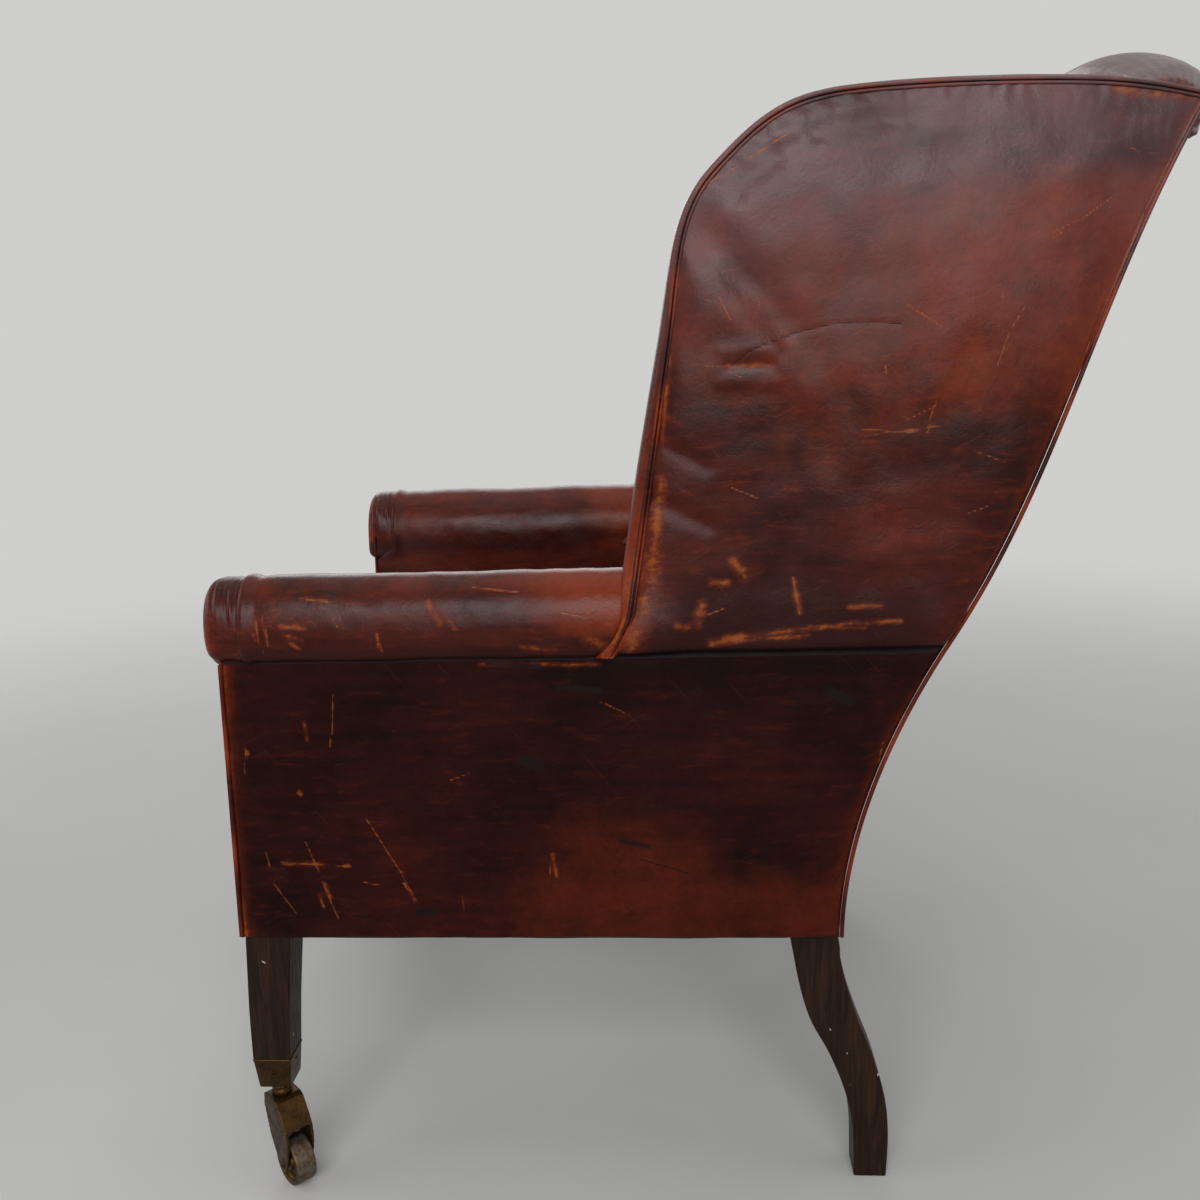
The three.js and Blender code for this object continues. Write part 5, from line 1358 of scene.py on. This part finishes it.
def lathe(profile, centre, axis, segments=72):
    """A profile of radius and place along an axis, turned round it."""
    p = np.asarray(profile, float)
    axis = Vector(axis).normalized()
    turn = np.array(axis.to_track_quat("Z", "Y").to_matrix())
    a = np.linspace(0, 2 * np.pi, segments, endpoint=False)
    rings = np.stack([p[:, :1] * np.cos(a), p[:, :1] * np.sin(a), p[:, 1:] + 0 * a], -1)
    return rings @ turn.T + np.asarray(centre)


class CHAIR_OT_castors(bpy.types.Operator):
    """Castors: square cups with a rolled lip and two pins, ringed necks, cast horns, slotted axles and wheels."""

    bl_idname = "chair.castors"
    bl_label = "Castors"

    def execute(self, context):
        joints = {joint["name"]: joint for joint in frame["joints"]}
        for name in SIDES:
            self.cup(name)
            wheel = joints[name + "_wheel_spin"]
            centre, axis = wheel["pos_m"], wheel["axis"]
            swivel = joints[name + "_castor_swivel"]["pos_m"]
            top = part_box("castor_cup_left")[0].z - 0.0003
            neck = [
                (0.0002, top), (0.0088, top), (0.0094, top - 0.0006), (0.0094, top - 0.0012), (0.0082, top - 0.0024),
                (0.0081, top - 0.0034), (0.0096, top - 0.0046), (0.0101, top - 0.0058), (0.0096, top - 0.0070),
                (0.0083, top - 0.0080), (0.0083, top - 0.0088), (0.0097, top - 0.0102), (0.0102, top - 0.0120),
                (0.0102, 0.0966), (0.0097, 0.0960), (0.0040, 0.0960), (0.0040, 0.0842), (0.0038, 0.0840),
                (0.0002, 0.0840),
            ]
            rings = lathe(neck, (swivel[0], swivel[1], 0), (0, 0, 1))
            add("castor_neck_brass_" + name, skin(rings), FINISHES["brass"],
                replaces=["castor_neck_" + name])
            self.horn(name, centre, axis, swivel)
            half = [
                (0.0033, 0.0098), (0.0036, 0.0102), (0.0074, 0.0102), (0.0080, 0.0098), (0.0084, 0.0086),
                (0.0090, 0.0064),
                (0.0100, 0.0058), (0.0180, 0.0058), (0.0192, 0.0064), (0.0200, 0.0092), (0.0206, 0.0106),
                (0.0216, 0.0110),
                (0.0232, 0.0109), (0.0240, 0.0104), (0.0244, 0.0094), (0.0245, 0.0078), (0.0245, 0.0030),
            ]
            profile = half + [(r, -h) for r, h in reversed(half)]
            rings = lathe(profile + profile[:1], centre, axis, 96)[:-1]
            piece = add("castor_wheel_brass_" + name, skin(rings, closed=True), FINISHES["brass"],
                body=name + "_wheel",
                        replaces=["castor_wheel_" + name])
            piece.data.materials.append(FINISHES["tread"])
            radius = np.linalg.norm(np.cross(self.middles(piece) - np.array(centre), np.array(axis)), axis=1)
            piece.data.polygons.foreach_set("material_index", (radius > 0.0238).astype(np.int32))
            self.axle(name, centre, axis)
        return {"FINISHED"}

    def middles(self, piece):
        """The middle point of each face."""
        found = np.zeros(len(piece.data.polygons) * 3)
        piece.data.polygons.foreach_get("center", found)
        return found.reshape(-1, 3)

    def cup(self, name):
        """Cup: rings of a rounded square up the outside, over the rolled lip and down the inside."""
        low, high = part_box("castor_cup_" + name)
        cx, cy = (low.x + high.x) / 2, (low.y + high.y) / 2
        levels = [
            (0.0155, low.z), (0.0163, low.z + 0.0003), (0.0167, low.z + 0.0010), (0.0194, high.z - 0.0034),
            (0.0196, high.z - 0.0027), (0.0200, high.z - 0.0023), (0.0201, high.z - 0.0012),
            (0.0199, high.z - 0.0003),
            (0.0195, high.z), (0.0180, high.z), (0.0177, high.z - 0.0004), (0.0151, low.z + 0.0032),
            (0.0149, low.z + 0.0030),
        ]
        unit = rounded_square(1.0, 1.0, 0.11, 8)
        half, z = np.array(levels).T
        z = z[:, None] + 0 * unit[None, :, 0]
        rings = np.stack([cx + half[:, None] * unit[None, :, 0], cy + half[:, None] * unit[None, :, 1], z], -1)
        add("castor_cup_brass_" + name, skin(rings), FINISHES["brass"], replaces=["castor_cup_" + name])
        for pin, axis in (("outer", (math.copysign(1, cx), 0, 0)), ("rear", (0, 1, 0))):
            node = f"castor_cup_{pin}_pin_{name}"
            a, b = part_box(node)
            end = Vector([(b if v > 0 else a)[k] if v else (a[k] + b[k]) / 2 for k, v in enumerate(axis)])
            head = [(0.0001, 0.0002), (0.0010, 0.0002), (0.0019, -0.0001), (0.0024, -0.0007),
                (0.0024, -0.0118), (0.0001, -0.0120)]
            add(f"cup_pin_{pin}_{name}", skin(lathe(head, end, axis, 32)), FINISHES["pin"], replaces=[node])

    def horn(self, name, centre, axis, swivel):
        """Horn: a merged copy of the CAD solid with its window cut higher, remeshed finely and smoothed so that
        its edges round off as in a casting."""
        node = frame["nodes"]["castor_horn_" + name]
        work = bmesh.new()
        work.from_mesh(node.data)
        bmesh.ops.remove_doubles(work, verts=work.verts, dist=1e-6)
        mesh = bpy.data.meshes.new("castor_horn_brass_" + name)
        work.to_mesh(mesh)
        work.free()
        piece = bpy.data.objects.new(mesh.name, mesh)
        bpy.context.scene.collection.objects.link(piece)
        along = Vector(axis).normalized()
        turn = along.to_track_quat("Y", "Z").to_matrix().to_4x4()
        out = Vector(centre) - Vector(swivel)
        out.z = 0
        middle = Vector(centre) + out.normalized() * 0.016 + Vector((0, 0, 0.023))
        self.sawn(piece, turn, [(middle, (0.044, 0.0240, 0.036))])
        piece.data.materials.clear()
        piece.data.materials.append(FINISHES["brass"])
        remesh = piece.modifiers.new("Remesh", "REMESH")
        remesh.mode, remesh.voxel_size, remesh.use_smooth_shade = "VOXEL", 0.0010, True
        softened = piece.modifiers.new("Smooth", "SMOOTH")
        softened.factor, softened.iterations = 0.6, 3
        joined_to_chair(piece, name + "_castor", ["castor_horn_" + name])

    def axle(self, name, centre, axis):
        """Axle: a turned rivet with domed ends, each with a sawn slot."""
        half, head = 0.01555, 0.0016
        profile = [
            (0.0001, -half - head), (0.0024, -half - head * 0.92), (0.0040, -half - head * 0.6),
            (0.0049, -half - head * 0.15),
            (0.0050, -half), (0.0030, -half), (0.0030, half), (0.0050, half), (0.0049, half + head * 0.15),
            (0.0040, half + head * 0.6), (0.0024, half + head * 0.92), (0.0001, half + head),
        ]
        piece = add("castor_axle_brass_" + name, skin(lathe(profile, centre, axis)), FINISHES["brass"],
            body=name + "_castor",
                    replaces=["castor_axle_" + name])
        along = Vector(axis).normalized()
        ends = [(Vector(centre) + along * end * (half + head), (0.012, 0.0010, 0.0016)) for end in (-1, 1)]
        self.sawn(piece, along.to_track_quat("Z", "Y").to_matrix().to_4x4(), ends)

    def sawn(self, piece, turn, blocks):
        """Takes turned blocks, each a middle and three sizes, out of a piece."""
        block_mesh = bpy.data.meshes.new("sawn")
        work = bmesh.new()
        for middle, size in blocks:
            spot = Matrix.Translation(middle) @ turn @ Matrix.Diagonal((*size, 1))
            bmesh.ops.create_cube(work, size=1.0, matrix=spot)
        work.to_mesh(block_mesh)
        work.free()
        cutter = bpy.data.objects.new("sawn", block_mesh)
        bpy.context.scene.collection.objects.link(cutter)
        cut = piece.modifiers.new("Sawn", "BOOLEAN")
        cut.object, cut.operation, cut.solver = cutter, "DIFFERENCE", "EXACT"
        bpy.context.view_layer.update()
        result = bpy.data.meshes.new_from_object(piece.evaluated_get(bpy.context.evaluated_depsgraph_get()))
        piece.modifiers.clear()
        piece.data = result
        bpy.data.objects.remove(cutter)


class CHAIR_OT_bottoming(bpy.types.Operator):
    """Black cloth tacked under the base, notched round the legs and sagging a little."""

    bl_idname = "chair.bottoming"
    bl_label = "Bottoming cloth"

    def execute(self, context):
        low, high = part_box("bottom_cloth")
        x = np.linspace(low.x, high.x, 130)[None, :]
        y = np.linspace(low.y, high.y, 120)[:, None]
        across = np.clip(1 - (x / high.x) ** 2, 0, 1)
        along = np.clip(1 - ((y - (low.y + high.y) / 2) / ((high.y - low.y) / 2)) ** 2, 0, 1)
        z = high.z - 0.0013 - 0.0045 * np.sqrt(across * along) + 0.0004 * waves(x, y, 0.06, 141)
        n, m = z.shape
        index = np.arange(n * m).reshape(n, m)
        quads = np.stack([index[:-1, :-1], index[:-1, 1:], index[1:, 1:], index[1:, :-1]], -1)
        mid_x = np.abs(x[0, :-1] + x[0, 1:])[None, :] / 2
        mid_y = ((y[:-1, 0] + y[1:, 0]) / 2)[:, None]
        notch = ((mid_x > 0.286) & (mid_y < FRONT_Y + 0.0535)) | ((mid_x > 0.274) & (mid_y > high.y - 0.05))
        points = np.stack(np.broadcast_arrays(x, y, z), -1).reshape(-1, 3)
        mesh = bpy.data.meshes.new("bottoming_cloth_sheet")
        mesh.from_pydata(points.tolist(), [], quads[~notch].tolist())
        work = bmesh.new()
        work.from_mesh(mesh)
        bmesh.ops.delete(work, geom=[v for v in work.verts if not v.link_faces], context="VERTS")
        area = sum(face.calc_area() for face in work.faces)
        work.to_mesh(mesh)
        work.free()
        mesh.polygons.foreach_set("use_smooth", np.ones(len(mesh.polygons), bool))
        mesh.materials.append(FINISHES["cloth"])
        piece = bpy.data.objects.new(mesh.name, mesh)
        context.scene.collection.objects.link(piece)
        thick = piece.modifiers.new("Thickness", "SOLIDIFY")
        thick.thickness, thick.offset = 0.0007, -1.0
        joined_to_chair(piece, "chair", ["bottom_cloth"])
        return {"FINISHED"}


class CHAIR_OT_stage(bpy.types.Operator):
    """Plain pale floor and backdrop, soft light and the camera at the photograph's view."""

    bl_idname = "chair.stage"
    bl_label = "Stage"

    def execute(self, context):
        look = context.scene.stage_look
        scene = context.scene
        scene.view_settings.view_transform = "Standard"
        mesh = bpy.data.meshes.new("floor")
        mesh.from_pydata([(-5, -5, 0), (5, -5, 0), (5, 5, 0), (-5, 5, 0)], [], [(0, 1, 2, 3)])
        f = Finish("pale_floor")
        cloudy = f.noise(0.9, 5, 0.6)
        far = f.node("ShaderNodeVectorMath", {0: f.place}, operation="LENGTH").outputs["Value"]
        f.set(Base_Color=f.mix(f.ramp(cloudy, 0.3, 0.7), [c * 0.93 for c in look.floor[:3]] + [1], list(look.floor)),
              Alpha=f.ramp(far, 0.9, 3.4, 1.0, 0.0), Roughness=0.75)
        mesh.materials.append(f.material)
        floor = bpy.data.objects.new("floor", mesh)
        scene.collection.objects.link(floor)
        world = bpy.data.worlds.new("studio")
        scene.world = world
        world.use_nodes = True
        tree = world.node_tree
        shown = tree.nodes["Background"]
        shown.inputs["Color"].default_value = look.wall
        shown.inputs["Strength"].default_value = 1.0
        light = tree.nodes.new("ShaderNodeBackground")
        light.inputs["Color"].default_value = (0.92, 0.95, 1.0, 1)
        light.inputs["Strength"].default_value = 0.27
        path = tree.nodes.new("ShaderNodeLightPath")
        direct = path.outputs["Is Camera Ray"]
        for ray in ("Is Transmission Ray", "Is Glossy Ray"):
            either = tree.nodes.new("ShaderNodeMath")
            either.operation = "MAXIMUM"
            tree.links.new(direct, either.inputs[0])
            tree.links.new(path.outputs[ray], either.inputs[1])
            direct = either.outputs[0]
        mixed = tree.nodes.new("ShaderNodeMixShader")
        tree.links.new(direct, mixed.inputs[0])
        tree.links.new(light.outputs[0], mixed.inputs[1])
        tree.links.new(shown.outputs[0], mixed.inputs[2])
        tree.links.new(mixed.outputs[0], tree.nodes["World Output"].inputs["Surface"])
        lamps = [
            ("high window", look.high, (3.1, -0.25, 2.45), (0.0, 0.05, 0.90), 2.6, 1.15),
            ("broad window", look.broad, (3.4, 0.10, 1.45), (0.0, 0.05, 0.85), 3.0, 1.4),
            ("ceiling", look.high * 0.28, (0.0, 0.0, 3.2), (0.0, 0.0, 0.5), 2.5, 2.5),
            ("far side", look.high * 0.44, (-2.9, -0.6, 2.0), (0.0, 0.0, 0.8), 2.6, 1.8),
            ("front", look.high * 0.36, (0.6, -3.2, 1.9), (0.0, 0.0, 0.8), 2.4, 1.6),
            ("rear", look.high * 0.30, (0.2, 3.3, 1.9), (0.0, 0.2, 0.7), 2.4, 1.6),
        ]
        for name, power, place, target, width, height in lamps:
            lamp = bpy.data.lights.new(name, "AREA")
            lamp.shape, lamp.size, lamp.size_y, lamp.energy = "RECTANGLE", width, height, power
            holder = bpy.data.objects.new(name, lamp)
            holder.location = place
            holder.rotation_euler = (Vector(target) - Vector(place)).to_track_quat("-Z", "Y").to_euler()
            scene.collection.objects.link(holder)
        data = bpy.data.cameras.new("camera")
        data.sensor_width, data.lens = PHOTO_SENSOR, PHOTO_LENS
        data.clip_start, data.clip_end = 0.05, 100.0
        camera = bpy.data.objects.new("camera", data)
        pitch, yaw, roll = PHOTO_PITCH, PHOTO_YAW, PHOTO_ROLL
        ahead = Vector((-math.cos(pitch) * math.cos(yaw), -math.cos(pitch) * math.sin(yaw), -math.sin(pitch)))
        right = ahead.cross(Vector((0, 0, 1))).normalized()
        up = right.cross(ahead)
        right, up = right * math.cos(roll) + up * math.sin(roll), up * math.cos(roll) - right * math.sin(roll)
        turn = Matrix((right, up, -ahead)).transposed().to_4x4()
        camera.matrix_world = Matrix.Translation(PHOTO_PLACE) @ turn
        scene.collection.objects.link(camera)
        scene.camera = camera
        return {"FINISHED"}


class CHAIR_PT_panel(bpy.types.Panel):
    """Sizes, colours and the steps in order."""

    bl_idname = "CHAIR_PT_panel"
    bl_label = "Worn club chair"
    bl_space_type = "VIEW_3D"
    bl_region_type = "UI"
    bl_category = "Club chair"

    def draw(self, context):
        for group in GROUPS:
            box = self.layout.box()
            for key in GROUPS[group].__annotations__:
                box.prop(getattr(context.scene, group), key)
        for step in STEPS:
            self.layout.operator(step.bl_idname)


GROUPS = {
    "chair_sizes": ChairSizes, "leather_look": LeatherLook, "hardware_look": HardwareLook, "stage_look": StageLook,
}
STEPS = (
    CHAIR_OT_finishes, CHAIR_OT_outside_wings, CHAIR_OT_outside_arms, CHAIR_OT_arms, CHAIR_OT_inside_wings,
    CHAIR_OT_back, CHAIR_OT_seat, CHAIR_OT_welts, CHAIR_OT_legs, CHAIR_OT_castors, CHAIR_OT_bottoming, CHAIR_OT_stage,
)


def register():
    """Registers the classes and hangs the sizes and looks on the scene."""
    for part in (*GROUPS.values(), *STEPS, CHAIR_PT_panel):
        bpy.utils.register_class(part)
    for key, group in GROUPS.items():
        setattr(bpy.types.Scene, key, PointerProperty(type=group))


def unregister():
    """Undoes register."""
    for key in GROUPS:
        delattr(bpy.types.Scene, key)
    for part in reversed((*GROUPS.values(), *STEPS, CHAIR_PT_panel)):
        bpy.utils.unregister_class(part)


def main():
    """Builds the chair and its stage."""
    register()
    for step in STEPS:
        group, name = step.bl_idname.split(".")
        getattr(getattr(bpy.ops, group), name)()


if __name__ == "__main__":
    main()
